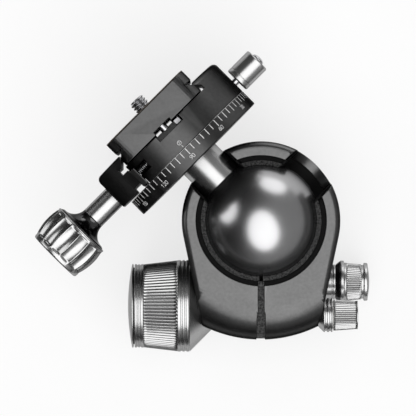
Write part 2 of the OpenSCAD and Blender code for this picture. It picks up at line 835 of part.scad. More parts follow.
module collar_seat(gap) {
  translate([0, 0, friction_seat_x - gap]) cylinder(h = friction_cone_l,
    r1 = friction_collar_r - friction_cone_l + gap, r2 = friction_collar_r + gap);
  rod(friction_collar_r + gap, friction_collar_x - gap, friction_face_x + gap);
}

module friction_collar() color("#c3c6ca") right_of_friction() difference() {
  collar_seat(0);
  rod(friction_r + seat_gap, 0, far);
  for (s = [1, 2]) tube(friction_collar_r - friction_rib_h, far,
    friction_face_x - s * 2 * friction_rib_w + friction_rib_w / 2,
    friction_face_x - s * 2 * friction_rib_w + 1.5 * friction_rib_w);
}

module friction_washer() color("#e8e6df") right_of_friction()
  tube(friction_r + seat_gap, friction_knob_r - friction_rib_w, friction_face_x, friction_knob_x);

module friction_knob() color("#c3c6ca") right_of_friction() difference() {
  union() {
    rod(friction_knob_r, friction_knob_x, friction_knob_x + friction_rib_w);
    translate([0, 0, friction_knob_x + friction_rib_w])
      grip(friction_knob_r, friction_knob_end_r, friction_knob_l - 2 * friction_rib_w,
        friction_ridge_h, friction_ridges_n);
    rod(friction_knob_end_r, friction_end_x - friction_rib_w, friction_end_x);
  }
  rod(friction_r + run_fit, 0, friction_end_x - knob_bite);
}

module friction_screw() color("#9fa3a8") right_of_friction()
  rod(friction_r, -friction_tip_x, friction_end_x - knob_bite);

// Pan lock knob

module pan_collar() color("#c3c6ca") right_of_pan()
  tube(pan_r + run_fit, pan_collar_r, pan_seat_x, pan_collar_x);

module pan_knob_ring() color("#17181a") right_of_pan() difference() {
  translate([0, 0, pan_collar_x + seat_gap])
    cylinder(h = pan_ring_l, r1 = pan_collar_r, r2 = pan_knob_r - seat_gap);
  rod(pan_r + run_fit, 0, far);
}

module pan_knob() color("#c3c6ca") right_of_pan() difference() {
  grip_x = pan_knob_x + pan_flange_l + pan_neck_l;
  rim_x = pan_end_x - pan_dome_l - pan_rim_l;
  grip_l = rim_x - pan_neck_l - grip_x;
  union() {
    rod(pan_knob_r, pan_knob_x, pan_knob_x + pan_flange_l);
    rod(pan_grip_r - pan_neck_depth, pan_knob_x + pan_flange_l, grip_x);
    translate([0, 0, grip_x])
      grip(pan_grip_r, pan_grip_end_r, grip_l, pan_ridge_h, pan_ridges_n);
    rod(pan_grip_end_r - pan_neck_depth, grip_x + grip_l, rim_x);
    rod(pan_grip_r, rim_x, rim_x + pan_rim_l);
    translate([0, 0, rim_x + pan_rim_l])
      cylinder(h = pan_dome_l, r1 = pan_grip_end_r, r2 = pan_grip_end_r / 2);
  }
  rod(pan_r + run_fit, 0, pan_end_x - knob_bite);
}

module pan_screw() color("#9fa3a8") right_of_pan()
  rod(pan_r, pan_screw_x, pan_end_x - knob_bite);

module pan_plug() color("#c9a24a") difference() {
  right_of_pan() rod(pan_r, pan_plug_x, pan_screw_x);
  rod(ring_in_r, 0, far);
}

// Ball, stem and scale disc

module ball() color("#7c7f84") in_stem() difference() {
  sphere(r = ball_r);
  rod(ball_r, stem_root, far);
  rod(stem_bolt_r + run_fit, stem_root - stem_bolt_grip - over, far);
}

module stem() color("#d2d5d9") in_stem() difference() {
  union() {
    rod(stem_r, stem_root, disc_z);
    rod(stem_spigot_r, disc_z - over, disc_z + stem_spigot_h);
  }
  rod(stem_bolt_r + seat_gap, 0, far);
}

module scale_disc() color("#2d2e31") in_stem() difference() {
  union() {
    rotate_extrude() polygon([[0, disc_z], [disc_r - disc_edge, disc_z],
      [disc_r, disc_z + disc_edge], [disc_r, disc_top - disc_edge],
      [disc_r - disc_edge, disc_top], [0, disc_top]]);
    rod(hub_r, disc_top - over, hub_top);
  }
  rod(stem_spigot_r + run_fit, 0, disc_z + stem_spigot_h + seat_gap);
  rod(stem_bolt_r + seat_gap, 0, far);
  rod(stem_head_r + seat_gap, stem_head_z, far);
  tube(glide_in_r - seat_gap, glide_out_r + seat_gap, disc_top + glide_gap - glide_h, far);
  rotate_extrude() polygon([[hub_r + over, nip_z - nip_groove - over],
    [hub_r - nip_groove, nip_z], [hub_r + over, nip_z + nip_groove + over]]);
}

module stem_bolt() color("#9fa3a8") in_stem() difference() {
  union() {
    rod(stem_bolt_r, stem_root - stem_bolt_grip, stem_head_z + over);
    rod(stem_head_r, stem_head_z, hub_top - seat_gap);
  }
  translate([0, 0, hub_top - socket_depth]) cylinder(h = far, d = stem_bolt_key, $fn = 6);
}

module glide_washer() color("#e8e6df") in_stem()
  tube(glide_in_r, glide_out_r, disc_top + glide_gap - glide_h, clamp_z);

// Clamp body and what is fixed in it

module clamp_body() color("#303134") in_stem() difference() {
  translate([0, 0, clamp_z]) rotate_extrude() intersection() {
    union() {
      square([disc_r - clamp_round, clamp_h]);
      square([disc_r, clamp_h - clamp_round]);
      translate([disc_r - clamp_round, clamp_h - clamp_round]) circle(r = clamp_round);
    }
    square(far);
  }
  rotate([90, 0, 0]) linear_extrude(far, center = true) {
    lip_corner_w = right_flank(clamp_top - lip_chamfer);
    polygon([[-far, floor_z], [foot_w, floor_z], [foot_w, toe_z],
      [lip_corner_w, clamp_top - lip_chamfer], [lip_corner_w + lip_chamfer, clamp_top],
      [lip_corner_w + lip_chamfer, far], [-far, far]]);
    translate([-far - parting_w, 0]) square([far, ledge_z]);
    translate([-far - ledge_w, 0]) square([far, far]);
    translate([plate_mid_w - recess_w / 2, floor_z - recess_depth]) square([recess_w, over]);
  }
  for (y = [groove_web_l / 2, -groove_web_l / 2 - far]) translate([-groove_w / 2, y, groove_z])
    cube([groove_w, far, far]);
  rod(hub_r + run_fit, 0, hub_room_z);
  across(0, jaw_screw_z) rod(jaw_screw_r + run_fit, -far, -jaw_screw_tip_w);
  for (s = [-1, 1]) {
    translate([0, s * guide_pitch / 2, 0]) across(0, guide_z)
      rod(guide_r + run_fit, -far, -guide_in_w);
    translate([0, s * spring_pitch / 2, 0]) {
      across(0, spring_z) rod(spring_r + spring_room, -far, -spring_in_w);
      translate([-far - spring_in_w, s > 0 ? 0 : -far, spring_z - spring_r - spring_room])
        cube([far, far, 2 * (spring_r + spring_room)]);
    }
  }
  across(0, nip_z) {
    rod(nip_shoe_r + run_fit, 0, nip_shoe_w + nip_shoe_l + nip_travel);
    rod(nip_r + run_fit, 0, far);
  }
}

module guide_pins() color("#c9ccd1") in_stem() for (s = [-1, 1])
  translate([0, s * guide_pitch / 2, 0]) across(0, guide_z) rod(guide_r, -guide_out_w, -guide_in_w);

module groove_key() color("#8e9196") in_stem()
  translate([key_side, -key_end, groove_z + tongue_gap])
    cube([key_w, key_end - groove_web_l / 2, key_h]);

// Release springs. Each wire is one tube swept along a helix, eight rings to a turn, whose
// ends run straight for a wire diameter on to the pocket floor and the jaw.
function coil_at(t) = [coil_r * cos(360 * t), coil_r * sin(360 * t),
  spring_wire_d + wire_r + coil_l * t / spring_turns];
wire_path = concat([[coil_r, 0, 0], [coil_r, 0, spring_wire_d]],
  [for (i = [1:coil_steps - 1]) coil_at(i / spring_rings)],
  [[coil_r, 0, spring_l - spring_wire_d], [coil_r, 0, spring_l]]);
function unit(v) = v / norm(v);
function wire_dir(i) = let (n = len(wire_path) - 1)
  unit(wire_path[min(i + 1, n)] - wire_path[max(i - 1, 0)]);
function wire_out(i) = let (p = wire_path[i], d = wire_dir(i), q = [p[0], p[1], 0])
  unit(q - d * (q * d));
function wire_ring(i) = let (d = wire_dir(i), u = wire_out(i), v = cross(d, u))
  [for (k = [0:wire_sides - 1]) let (t = 360 * k / wire_sides)
    wire_path[i] + wire_r * (u * cos(t) + v * sin(t))];
wire_points = [for (i = [0:len(wire_path) - 1]) each wire_ring(i)];
wire_last = (len(wire_path) - 1) * wire_sides;
wire_faces = concat(
  [for (i = [0:len(wire_path) - 2], k = [0:wire_sides - 1], s = [0, 1])
    let (a = i * wire_sides + k, b = i * wire_sides + (k + 1) % wire_sides)
      s == 0 ? [a, a + wire_sides, b] : [b, a + wire_sides, b + wire_sides]],
  [for (k = [1:wire_sides - 2]) [0, k, k + 1]],
  [for (k = [1:wire_sides - 2]) [wire_last, wire_last + k + 1, wire_last + k]]);
wire_gap = min([for (i = [0:len(wire_path) - 1], j = [i + spring_rings / 2:len(wire_path) - 1])
  norm(wire_path[i] - wire_path[j])]) - spring_wire_d;
echo(least_gap_of_the_spring_to_itself_mm = wire_gap);

module release_springs() color("#d9dbde") in_stem() for (s = [-1, 1])
  translate([-jaw_face_w, s * spring_pitch / 2, spring_z]) rotate([0, 90, 0])
    polyhedron(wire_points, wire_faces);

// Movable jaw and its knob

module movable_jaw() color("#303134") in_stem() difference() {
  intersection() {
    rotate([90, 0, 0]) linear_extrude(jaw_l, center = true) polygon(concat([
      [-jaw_out_w, jaw_z], [-lower_relief_w - relief_w, jaw_z],
      [-lower_relief_w - relief_w, jaw_z + lower_relief_h],
      [-lower_relief_w, jaw_z + lower_relief_h], [-lower_relief_w, jaw_z],
      [-jaw_face_w, jaw_z], [-jaw_face_w, ledge_z - tongue_gap],
      [-ledge_w - tongue_gap, ledge_z - tongue_gap], [-ledge_w - tongue_gap, relief_z],
      [-ledge_w - relief_w, relief_z], [-ledge_w - relief_w, relief_top],
      [left_flank(relief_top), relief_top],
      [left_flank(jaw_top - lip_chamfer), jaw_top - lip_chamfer],
      [left_flank(jaw_top - lip_chamfer) - lip_chamfer, jaw_top]],
      arc(jaw_round - jaw_out_w, jaw_top - jaw_round, jaw_round, 90, 180, 8)));
    rod(jaw_sweep_r, 0, far);
  }
  across(0, jaw_screw_z) rod(jaw_screw_r + seat_gap, -far, 0);
  for (s = [-1, 1]) translate([0, s * guide_pitch / 2, 0]) across(0, guide_z)
    rod(guide_r + run_fit, -guide_out_w - over, 0);
}

module jaw_screw() color("#9fa3a8") in_stem() across(0, jaw_screw_z)
  rod(jaw_screw_r, -flare_end_w - barrel_l / 2, -jaw_screw_tip_w - seat_gap);

module knob_shaft() color("#d2d5d9") in_stem() across(0, jaw_screw_z)
  tube(jaw_screw_r + run_fit, shaft_r, -shaft_end_w, -jaw_out_w - seat_gap);

module knob_flare() color("#1c1d1f") in_stem() across(0, jaw_screw_z)
  translate([0, 0, -shaft_end_w]) mirror([0, 0, 1]) difference() {
    rotate_extrude() difference() {
      square([barrel_root_r, flare_l]);
      translate([shaft_r + flare_r, 0]) circle(r = flare_r);
      translate([shaft_r + flare_r, -over]) square([far, flare_r + over]);
    }
    rod(jaw_screw_r + run_fit, -over, flare_l + over);
  }

module knob_barrel() color("#d2d5d9") in_stem() across(0, jaw_screw_z)
  translate([0, 0, -flare_end_w]) mirror([0, 0, 1]) difference() {
    rotate_extrude() polygon(concat([[0, 0], [barrel_root_r, 0], [barrel_r, barrel_l / 2]],
      arc(barrel_end_r - barrel_round, barrel_l - barrel_round, barrel_round, 0, 90, 6),
      [[0, barrel_l]]));
    for (i = [1:flutes_n]) rotate(i * 360 / flutes_n)
      translate([barrel_r + flute_r - flute_depth, 0, barrel_rim])
        cylinder(h = barrel_l - 2 * barrel_rim - barrel_round, r = flute_r);
    rod(jaw_screw_r + run_fit, -over, barrel_l / 2);
  }

// Clamp pan lock

module nip_knob() color("#c3c6ca") in_stem() across(0, nip_z) difference() {
  translate([0, 0, nip_knob_w]) rotate_extrude() polygon([[0, 0],
    [nip_knob_d / 2 - nip_edge, 0], [nip_knob_d / 2, nip_edge],
    [nip_knob_d / 2, nip_knob_l - nip_edge], [nip_knob_d / 2 - nip_edge, nip_knob_l],
    [0, nip_knob_l]]);
  rod(nip_r + run_fit, 0, far);
}

module nip_screw() color("#b9bcc0") in_stem() across(0, nip_z) {
  rod(nip_r, nip_shoe_w + nip_shoe_l, nip_end_w + nip_edge);
  translate([0, 0, nip_end_w]) intersection() {
    translate([0, 0, nip_head_h - nip_dome_r]) sphere(r = nip_dome_r);
    rod(nip_head_d / 2, 0, nip_head_h + over);
  }
}

module nip_shoe() color("#c9a24a") in_stem() across(0, nip_z) {
  rod(nip_shoe_r, nip_shoe_w, nip_shoe_w + nip_shoe_l);
  translate([0, 0, nip_shoe_w - nip_tip_l])
    cylinder(h = nip_tip_l, r1 = nip_tip_r, r2 = nip_tip_r + nip_tip_l);
}

// Camera plate and what is on it

module screw_slot(r, from, to) in_plate() {
  for (s = [-1, 1]) translate([0, s * slot_travel, 0]) rod(r, from, to);
  translate([-r, -slot_travel, from]) cube([2 * r, 2 * slot_travel, to - from]);
}
module in_plate() translate([plate_mid_w, 0, 0]) children();

// Outline of the plate, seen along the stem
module plate_blank(bottom, height) translate([0, 0, bottom]) linear_extrude(height) polygon(concat(
  arc(plate_left_w + plate_round, plate_round - plate_l / 2, plate_round, 180, 270, 10),
  arc(plate_side_w - plate_round, plate_round - plate_l / 2, plate_round, 270, 360, 10),
  arc(plate_side_w - plate_round, plate_l / 2 - plate_round, plate_round, 0, 90, 10),
  arc(plate_left_w + plate_round, plate_l / 2 - plate_round, plate_round, 90, 180, 10)));

module camera_plate() color("#4b4c4f") in_stem() difference() {
  intersection() {
    rotate([90, 0, 0]) linear_extrude(far, center = true) polygon([
      [plate_left_w, plate_z], [plate_side_w, plate_z], [plate_side_w, shoulder_z],
      [neck_right_w, flange_z], [plate_side_w, flange_z], [plate_side_w, pad_z],
      [plate_left_w, pad_z], [plate_left_w, flange_z], [neck_left_w, flange_z],
      [plate_left_w, shoulder_z]]);
    plate_blank(plate_z - over, plate_h + over);
  }
  in_plate() translate([-bottom_groove_w / 2, -far / 2, 0])
    cube([bottom_groove_w, far, plate_z + bottom_groove_h]);
  screw_slot(camera_head_r + slot_gap, 0, slot_floor_z);
  screw_slot(camera_r + slot_gap, 0, far);
  for (s = [-1, 1]) in_plate() translate([0, s * stop_screw_pitch / 2, 0])
    rod(stop_screw_r + run_fit, 0, plate_z + bottom_groove_h + stop_screw_in);
}

module plate_pad() color("#3a332c") in_stem() difference() {
  plate_blank(pad_z, pad_t);
  screw_slot(camera_r + slot_gap, 0, far);
}

module stop_screws() color("#d9dbde") in_stem() for (s = [-1, 1])
  in_plate() translate([0, s * stop_screw_pitch / 2, 0])
    rod(stop_screw_r, plate_z - stop_screw_out, plate_z + bottom_groove_h + stop_screw_in);

module screw_clip() color("#9fa3a8") in_stem() in_plate()
  tube(camera_neck_r + run_fit, camera_head_r, slot_floor_z - clip_h, slot_floor_z);

module camera_screw() color("#c9ccd1") in_stem() in_plate() difference() {
  union() {
    rod(camera_head_r, camera_head_z, camera_head_z + camera_head_h);
    rod(camera_neck_r, camera_head_z, plate_top + over);
    rotate_extrude() polygon([[0, plate_top], [camera_r, plate_top],
      [camera_r, plate_top + camera_screw_rise - camera_tip],
      [camera_r - camera_tip, plate_top + camera_screw_rise],
      [0, plate_top + camera_screw_rise]]);
  }
  translate([-far / 2, -camera_slot_w / 2, 0])
    cube([far, camera_slot_w, camera_head_z + camera_slot_h]);
}

base_plate();
thread_insert();
pan_washer();
lift_washer();
retainer();
retainer_screws();
bearing_ring();
ring_screws();
housing();
ball_liner();
lip_band();
slot_filler();
main_knob();
main_knob_cap();
main_screw();
main_washer();
barrel_nut();
friction_knob();
friction_collar();
friction_screw();
friction_washer();
pan_knob();
pan_knob_ring();
pan_collar();
pan_screw();
pan_plug();
ball();
stem();
scale_disc();
stem_bolt();
glide_washer();
clamp_body();
guide_pins();
release_springs();
groove_key();
movable_jaw();
jaw_screw();
knob_shaft();
knob_flare();
knob_barrel();
nip_knob();
nip_screw();
nip_shoe();
camera_plate();
plate_pad();
stop_screws();
screw_clip();
camera_screw();
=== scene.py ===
"""Looks of a tripod ball head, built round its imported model. Metres, in the model's own frame."""

import math

import bpy
import numpy as np
from mathutils import Matrix, Vector


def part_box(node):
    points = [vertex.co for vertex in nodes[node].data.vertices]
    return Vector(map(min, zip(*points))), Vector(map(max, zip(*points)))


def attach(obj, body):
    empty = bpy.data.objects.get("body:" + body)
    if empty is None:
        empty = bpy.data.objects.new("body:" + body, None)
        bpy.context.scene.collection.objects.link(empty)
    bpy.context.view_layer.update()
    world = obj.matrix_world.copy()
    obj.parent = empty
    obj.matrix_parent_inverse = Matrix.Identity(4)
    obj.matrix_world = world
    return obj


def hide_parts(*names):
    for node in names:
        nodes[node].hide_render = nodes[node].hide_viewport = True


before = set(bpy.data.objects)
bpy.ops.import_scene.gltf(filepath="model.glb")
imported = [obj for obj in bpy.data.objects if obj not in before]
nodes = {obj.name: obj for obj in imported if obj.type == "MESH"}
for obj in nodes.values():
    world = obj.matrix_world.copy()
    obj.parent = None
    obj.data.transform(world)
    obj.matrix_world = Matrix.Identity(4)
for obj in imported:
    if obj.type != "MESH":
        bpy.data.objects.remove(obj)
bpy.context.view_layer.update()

MM = 0.001
TURN = 2 * math.pi

# Main sizes of the head, in millimetres
BALL_R = 22.0
BALL_Z = 40.0
TOP_Z = 48.0
STEM_R = 8.2
STEM_ROOT = math.sqrt(BALL_R**2 - STEM_R**2)
DISC_R = 29.1
DISC_Z = 32.3
DISC_TOP = 38.7
MAIN_Y = 31.9
MAIN_Z = 27.0
FRICTION_Y = 35.1
FRICTION_Z = 37.0
PAN_Y = 23.2
PAN_Z = 11.25
JAW_SCREW_H = 44.6
NIP_H = 43.0
PLATE_MID_W = -1.25


def placed(x, y, z, turn):
    """A place in millimetres with a turn before it, as a 4x4 array."""
    return np.array(Matrix.Translation((x, y, z)) @ turn)


# Places of the axes. Each piece is drawn with its axis along Z and then put on one of these.
ACROSS = Matrix.Rotation(math.radians(90), 4, "Y")
IN_STEM = (
    Matrix.Translation((0, 0, BALL_Z))
    @ Matrix.Rotation(math.radians(45), 4, "Z")
    @ Matrix.Rotation(math.radians(-90), 4, "X")
)
STEM_AXIS = np.array(IN_STEM)
LEFT_OF_MAIN = placed(0, -MAIN_Y, MAIN_Z, Matrix.Rotation(math.radians(-90), 4, "Y"))
RIGHT_OF_FRICTION = placed(0, -FRICTION_Y, FRICTION_Z, ACROSS)
RIGHT_OF_PAN = placed(0, -PAN_Y, PAN_Z, ACROSS)
NIP_AXIS = np.array(IN_STEM @ Matrix.Translation((0, 0, NIP_H)) @ ACROSS)
CLAMP_KNOB_AXIS = np.array(
    IN_STEM
    @ Matrix.Translation((0, 0, JAW_SCREW_H))
    @ Matrix.Rotation(math.radians(-90), 4, "Y")
)
CAMERA_SCREW_AXIS = np.array(IN_STEM @ Matrix.Translation((PLATE_MID_W, 0, 0)))


# Mesh making

# A radius below this counts as on the axis, in millimetres
ON_AXIS = 1e-6
# A corner whose half turn is below this counts as straight, in radians
STRAIGHT_TURN = 0.01
# Share of a side that the rounding at one of its ends may take
ROUNDING_SHARE = 0.45


def moved(points, place):
    """Points in millimetres put on a place, as metres."""
    return (points @ place[:3, :3].T + place[:3, 3]) * MM


def mesh_piece(name, points, faces, body, material, slot, *replaced):
    """One object from points in metres and faces, riding on its body."""
    mesh = bpy.data.meshes.new(name)
    mesh.from_pydata(points.tolist(), [], faces)
    mesh.polygons.foreach_set("use_smooth", np.ones(len(mesh.polygons), bool))
    mesh.materials.append(material)
    mesh.update()
    piece = bpy.data.objects.new(name, mesh)
    bpy.context.scene.collection.objects.link(piece)
    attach(piece, body)
    if replaced:
        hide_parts(*replaced)
    return piece


def grid_faces(rows, columns, wrap_rows=False, wrap_columns=True):
    """Quads of a grid of points, wrapped round either way."""
    r = np.arange(rows if wrap_rows else rows - 1)
    c = np.arange(columns if wrap_columns else columns - 1)
    i, j = np.meshgrid(r, c, indexing="ij")
    i2, j2 = (i + 1) % rows, (j + 1) % columns
    quads = np.stack([i * columns + j, i * columns + j2, i2 * columns + j2, i2 * columns + j], -1)
    return quads.reshape(-1, 4)


def rounded(corners, steps=4):
    """A line through corners (z, r, rounding), each replaced by an arc of its rounding. A corner
    given as (z, r) stays sharp."""
    corners = [(*c, 0.0) if len(c) == 2 else c for c in corners]
    line = []
    for k, (z, r, rounding) in enumerate(corners):
        here = np.array([z, r])
        if rounding <= 0 or k in (0, len(corners) - 1):
            line.append(here)
            continue
        before = np.array(corners[k - 1][:2]) - here
        after = np.array(corners[k + 1][:2]) - here
        a, b = np.linalg.norm(before), np.linalg.norm(after)
        before, after = before / a, after / b
        half = math.acos(max(-1.0, min(1.0, float(before @ after)))) / 2
        if math.pi / 2 - half < STRAIGHT_TURN:
            line.append(here)
            continue
        cut = min(rounding / math.tan(half), ROUNDING_SHARE * a, ROUNDING_SHARE * b)
        radius = cut * math.tan(half)
        between = (before + after) / np.linalg.norm(before + after)
        centre = here + between * (radius / math.sin(half))
        start, end = here + before * cut - centre, here + after * cut - centre
        sweep = math.atan2(start[0] * end[1] - start[1] * end[0], float(start @ end))
        for t in np.linspace(0, sweep, steps + 1):
            turn = np.array([[math.cos(t), -math.sin(t)], [math.sin(t), math.cos(t)]])
            line.append(centre + turn @ start)
    return np.array(line)


def bowed(start, end, bulge, steps):
    """Points (z, r) from start to end on a line that bulges outwards by a parabola."""
    t = np.linspace(0, 1, steps + 1)[:, None]
    line = (1 - t) * np.array(start) + t * np.array(end)
    line[:, 1] += bulge * 4 * (t * (1 - t))[:, 0]
    return [tuple(p) for p in line]


def revolved(
    name, line, place, body, material, slot, *replaced, around=128, relief=None, shade_grooves=False
):
    """A surface of revolution: each point (z, r) of the line goes round the place's axis.
    relief(z, r, angle) gives how far the surface lies under its radius there, and a piece asked to
    keep it stores it as its recess, into which its finish paints shade. A line that starts and ends
    on the axis closes in two poles, and any other line closes on itself."""
    line = np.asarray(line, float)
    poles = line[0, 1] < ON_AXIS and line[-1, 1] < ON_AXIS
    rows = line[1:-1] if poles else line
    angle = np.arange(around) * TURN / around
    z, a = np.meshgrid(rows[:, 0], angle, indexing="ij")
    r = np.repeat(rows[:, 1][:, None], around, 1)
    sunk = np.zeros_like(r)
    if relief is not None:
        sunk = relief(z, r, a)
        r = r - sunk
    points = np.stack([r * np.cos(a), r * np.sin(a), z], -1).reshape(-1, 3)
    sunk = sunk.reshape(-1)
    faces = grid_faces(len(rows), around, wrap_rows=not poles).tolist()
    if poles:
        low, high = len(points), len(points) + 1
        points = np.vstack([points, [0, 0, line[0, 0]], [0, 0, line[-1, 0]]])
        sunk = np.append(sunk, [0.0, 0.0])
        last = (len(rows) - 1) * around
        ring = [(k, (k + 1) % around) for k in range(around)]
        faces += [[low, b, a] for a, b in ring] + [[high, last + a, last + b] for a, b in ring]
    piece = mesh_piece(name, moved(points, place), faces, body, material, slot, *replaced)
    # Keeps the depth for the finish, which paints shade into the deepest part of each groove
    if shade_grooves:
        recess = piece.data.attributes.new("recess", "FLOAT", "POINT")
        recess.data.foreach_set("value", sunk / sunk.max())
    weigh_normals(piece)
    return piece


# Rounding of edges: the gap that is merged, in metres; the turns, in degrees, under which faces are
# joined and over which edges are rounded; the steps of a rounding; and the weight of large faces
MERGE_GAP = 2e-6
FLAT_TURN = 0.4
SHARP_TURN = 32
HOUSING_SHARP_TURN = 45
EDGE_STEPS = 3
FACE_WEIGHT = 60


def weigh_normals(piece):
    """Keeps flat faces flat beside their small roundings."""
    normals = piece.modifiers.new("flat_faces", "WEIGHTED_NORMAL")
    normals.keep_sharp = True
    normals.weight = FACE_WEIGHT


def ease_edges(piece, width, sharp_turn):
    """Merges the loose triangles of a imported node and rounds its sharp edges."""
    weld = piece.modifiers.new("merge", "WELD")
    weld.merge_threshold = MERGE_GAP
    flat = piece.modifiers.new("join_flat_faces", "DECIMATE")
    flat.decimate_type = "DISSOLVE"
    flat.angle_limit = math.radians(FLAT_TURN)
    edge = piece.modifiers.new("edge", "BEVEL")
    edge.width = width * MM
    edge.segments = EDGE_STEPS
    edge.limit_method = "ANGLE"
    edge.angle_limit = math.radians(sharp_turn)
    edge.use_clamp_overlap = False
    edge.loop_slide = False
    weigh_normals(piece)


# Materials


class Finish:
    """A procedural material on Object coordinates, in metres, with helpers for its nodes."""

    def __init__(self, name, color, metallic=0.0, roughness=0.5, **settings):
        self.material = bpy.data.materials.new(name)
        self.material.use_nodes = True
        self.tree = self.material.node_tree
        self.shader = self.tree.nodes["Principled BSDF"]
        self.shader.inputs["Base Color"].default_value = (*color, 1.0)
        self.shader.inputs["Metallic"].default_value = metallic
        self.shader.inputs["Roughness"].default_value = roughness
        for socket, value in settings.items():
            self.shader.inputs[socket.replace("_", " ")].default_value = value
        self.coordinates = self.tree.nodes.new("ShaderNodeTexCoord").outputs["Object"]
        self.height = None

    def link(self, start, end):
        """Joins an output to an input."""
        self.tree.links.new(start, end)

    def mapping(self, scale=(1, 1, 1), rotation=(0, 0, 0)):
        """Object coordinates, turned and then stretched."""
        turn = self.tree.nodes.new("ShaderNodeMapping")
        turn.vector_type = "TEXTURE"
        turn.inputs["Rotation"].default_value = [math.radians(a) for a in rotation]
        self.link(self.coordinates, turn.inputs["Vector"])
        stretch = self.tree.nodes.new("ShaderNodeMapping")
        stretch.inputs["Scale"].default_value = scale
        self.link(turn.outputs["Vector"], stretch.inputs["Vector"])
        return stretch.outputs["Vector"]

    def noise(self, scale, detail=3.0, roughness=0.55, vector=None):
        """Grey noise on Object coordinates, or on another vector."""
        node = self.tree.nodes.new("ShaderNodeTexNoise")
        node.inputs["Scale"].default_value = scale
        node.inputs["Detail"].default_value = detail
        node.inputs["Roughness"].default_value = roughness
        self.link(vector or self.coordinates, node.inputs["Vector"])
        return node.outputs["Fac"]

    def ramp(self, value, *stops):
        """Colours for a value. Stops are (place, colour or grey)."""
        node = self.tree.nodes.new("ShaderNodeValToRGB")
        points = node.color_ramp.elements
        while len(points) < len(stops):
            points.new(1.0)
        for point, (place, tone) in zip(points, stops):
            point.position = place
            point.color = (*tone, 1.0) if isinstance(tone, tuple) else (tone, tone, tone, 1.0)
        self.link(value, node.inputs["Fac"])
        return node.outputs["Color"]

    def worn(self, colour, worn_colour, amount):
        """Mixes towards the worn colour along convex edges."""
        low, high = 0.52, 0.6
        geometry = self.tree.nodes.new("ShaderNodeNewGeometry")
        edge = self.ramp(geometry.outputs["Pointiness"], (low, 0.0), (high, amount))
        mix = self.tree.nodes.new("ShaderNodeMix")
        mix.data_type = "RGBA"
        self.link(edge, mix.inputs["Factor"])
        self.link(colour, mix.inputs["A"])
        mix.inputs["B"].default_value = (*worn_colour, 1.0)
        return mix.outputs["Result"]

    def bump(self, value, strength, distance):
        """Adds a height, in metres, under the ones before it."""
        node = self.tree.nodes.new("ShaderNodeBump")
        node.inputs["Strength"].default_value = strength
        node.inputs["Distance"].default_value = distance
        self.link(value, node.inputs["Height"])
        if self.height is not None:
            self.link(self.height, node.inputs["Normal"])
        self.height = node.outputs["Normal"]
        self.link(self.height, self.shader.inputs["Normal"])

    def set(self, socket, value):
        """Lets an output drive one of the shader's inputs."""
        self.link(value, self.shader.inputs[socket])


def black_anodised(name, grey):
    """Bead-blasted and anodised aluminium: a fine grain, and a little wear on its edges."""
    finish = Finish(
        name, (grey, grey, grey), metallic=1.0, roughness=0.34, Specular_Tint=(0.15, 0.15, 0.15, 1)
    )
    tone = finish.ramp(finish.noise(900, 4), (0.3, grey * 0.92), (0.7, grey * 1.09))
    finish.set("Base Color", finish.worn(tone, (0.2, 0.2, 0.2), 0.4))
    finish.set("Roughness", finish.ramp(finish.noise(260, 3), (0.3, 0.3), (0.7, 0.36)))
    finish.bump(finish.noise(2600, 2), 0.06, 0.00003)
    return finish.material


def polished_ball():
    """Dark hard chrome, polished but for the haze of its last buffing."""
    finish = Finish(
        "polished_ball", (0.4, 0.4, 0.4), metallic=1.0, roughness=0.26,
        Specular_Tint=(0.0, 0.0, 0.0, 1),
    )
    tone = finish.ramp(finish.noise(45, 2), (0.3, (0.38, 0.38, 0.385)), (0.7, (0.42, 0.42, 0.425)))
    finish.set("Base Color", tone)
    finish.set("Roughness", finish.ramp(finish.noise(60, 1), (0.3, 0.24), (0.7, 0.27)))
    return finish.material


def turned_silver(name, stretch, rotation=(0, 0, 0)):
    """Clear anodised aluminium from the lathe: fine rings across the piece's own axis, and painted
    shade at the bottom of its grooves, which the attribute recess gives from 0 to 1."""
    tone, roughness = 0.42, 0.27
    finish = Finish(
        name, (tone, tone, tone), metallic=1.0, roughness=roughness,
        Specular_Tint=(0.5, 0.5, 0.5, 1),
    )
    rings = finish.noise(1.0, 1, 0.5, finish.mapping(stretch, rotation))
    base = finish.ramp(rings, (0.25, tone * 0.98), (0.75, tone * 1.02))
    recess = finish.tree.nodes.new("ShaderNodeAttribute")
    recess.attribute_name = "recess"
    # Painted shade: the deepest part of each groove turns near black
    groove_shade = finish.ramp(recess.outputs["Fac"], (0.62, 0.0), (0.95, 1.0))
    mix = finish.tree.nodes.new("ShaderNodeMix")
    mix.data_type = "RGBA"
    finish.link(groove_shade, mix.inputs["Factor"])
    finish.link(base, mix.inputs["A"])
    mix.inputs["B"].default_value = (0.05, 0.05, 0.05, 1.0)
    finish.set("Base Color", mix.outputs["Result"])
    haze = finish.noise(30, 1)
    finish.set("Roughness", finish.ramp(haze, (0.3, roughness - 0.01), (0.7, roughness + 0.01)))
    return finish.material


def bright_steel():
    """Ground and plated steel, with fine scratches."""
    finish = Finish("bright_steel", (0.6, 0.6, 0.61), metallic=1.0, roughness=0.24)
    scratch = finish.noise(1.0, 4, 0.6, finish.mapping((400, 2600, 1800)))
    tone = finish.ramp(scratch, (0.3, (0.42, 0.42, 0.43)), (0.7, (0.5, 0.5, 0.51)))
    finish.set("Base Color", tone)
    finish.set("Roughness", finish.ramp(scratch, (0.3, 0.2), (0.7, 0.3)))
    finish.bump(scratch, 0.04, 0.00001)
    return finish.material


def blackened_steel():
    """Black oxide on screws."""
    finish = Finish("blackened_steel", (0.03, 0.03, 0.032), metallic=0.8, roughness=0.4)
    tone = finish.ramp(finish.noise(700), (0.3, (0.025, 0.025, 0.027)), (0.7, (0.05, 0.05, 0.052)))
    finish.set("Base Color", finish.worn(tone, (0.3, 0.3, 0.3), 0.5))
    finish.bump(finish.noise(2200), 0.1, 0.00003)
    return finish.material


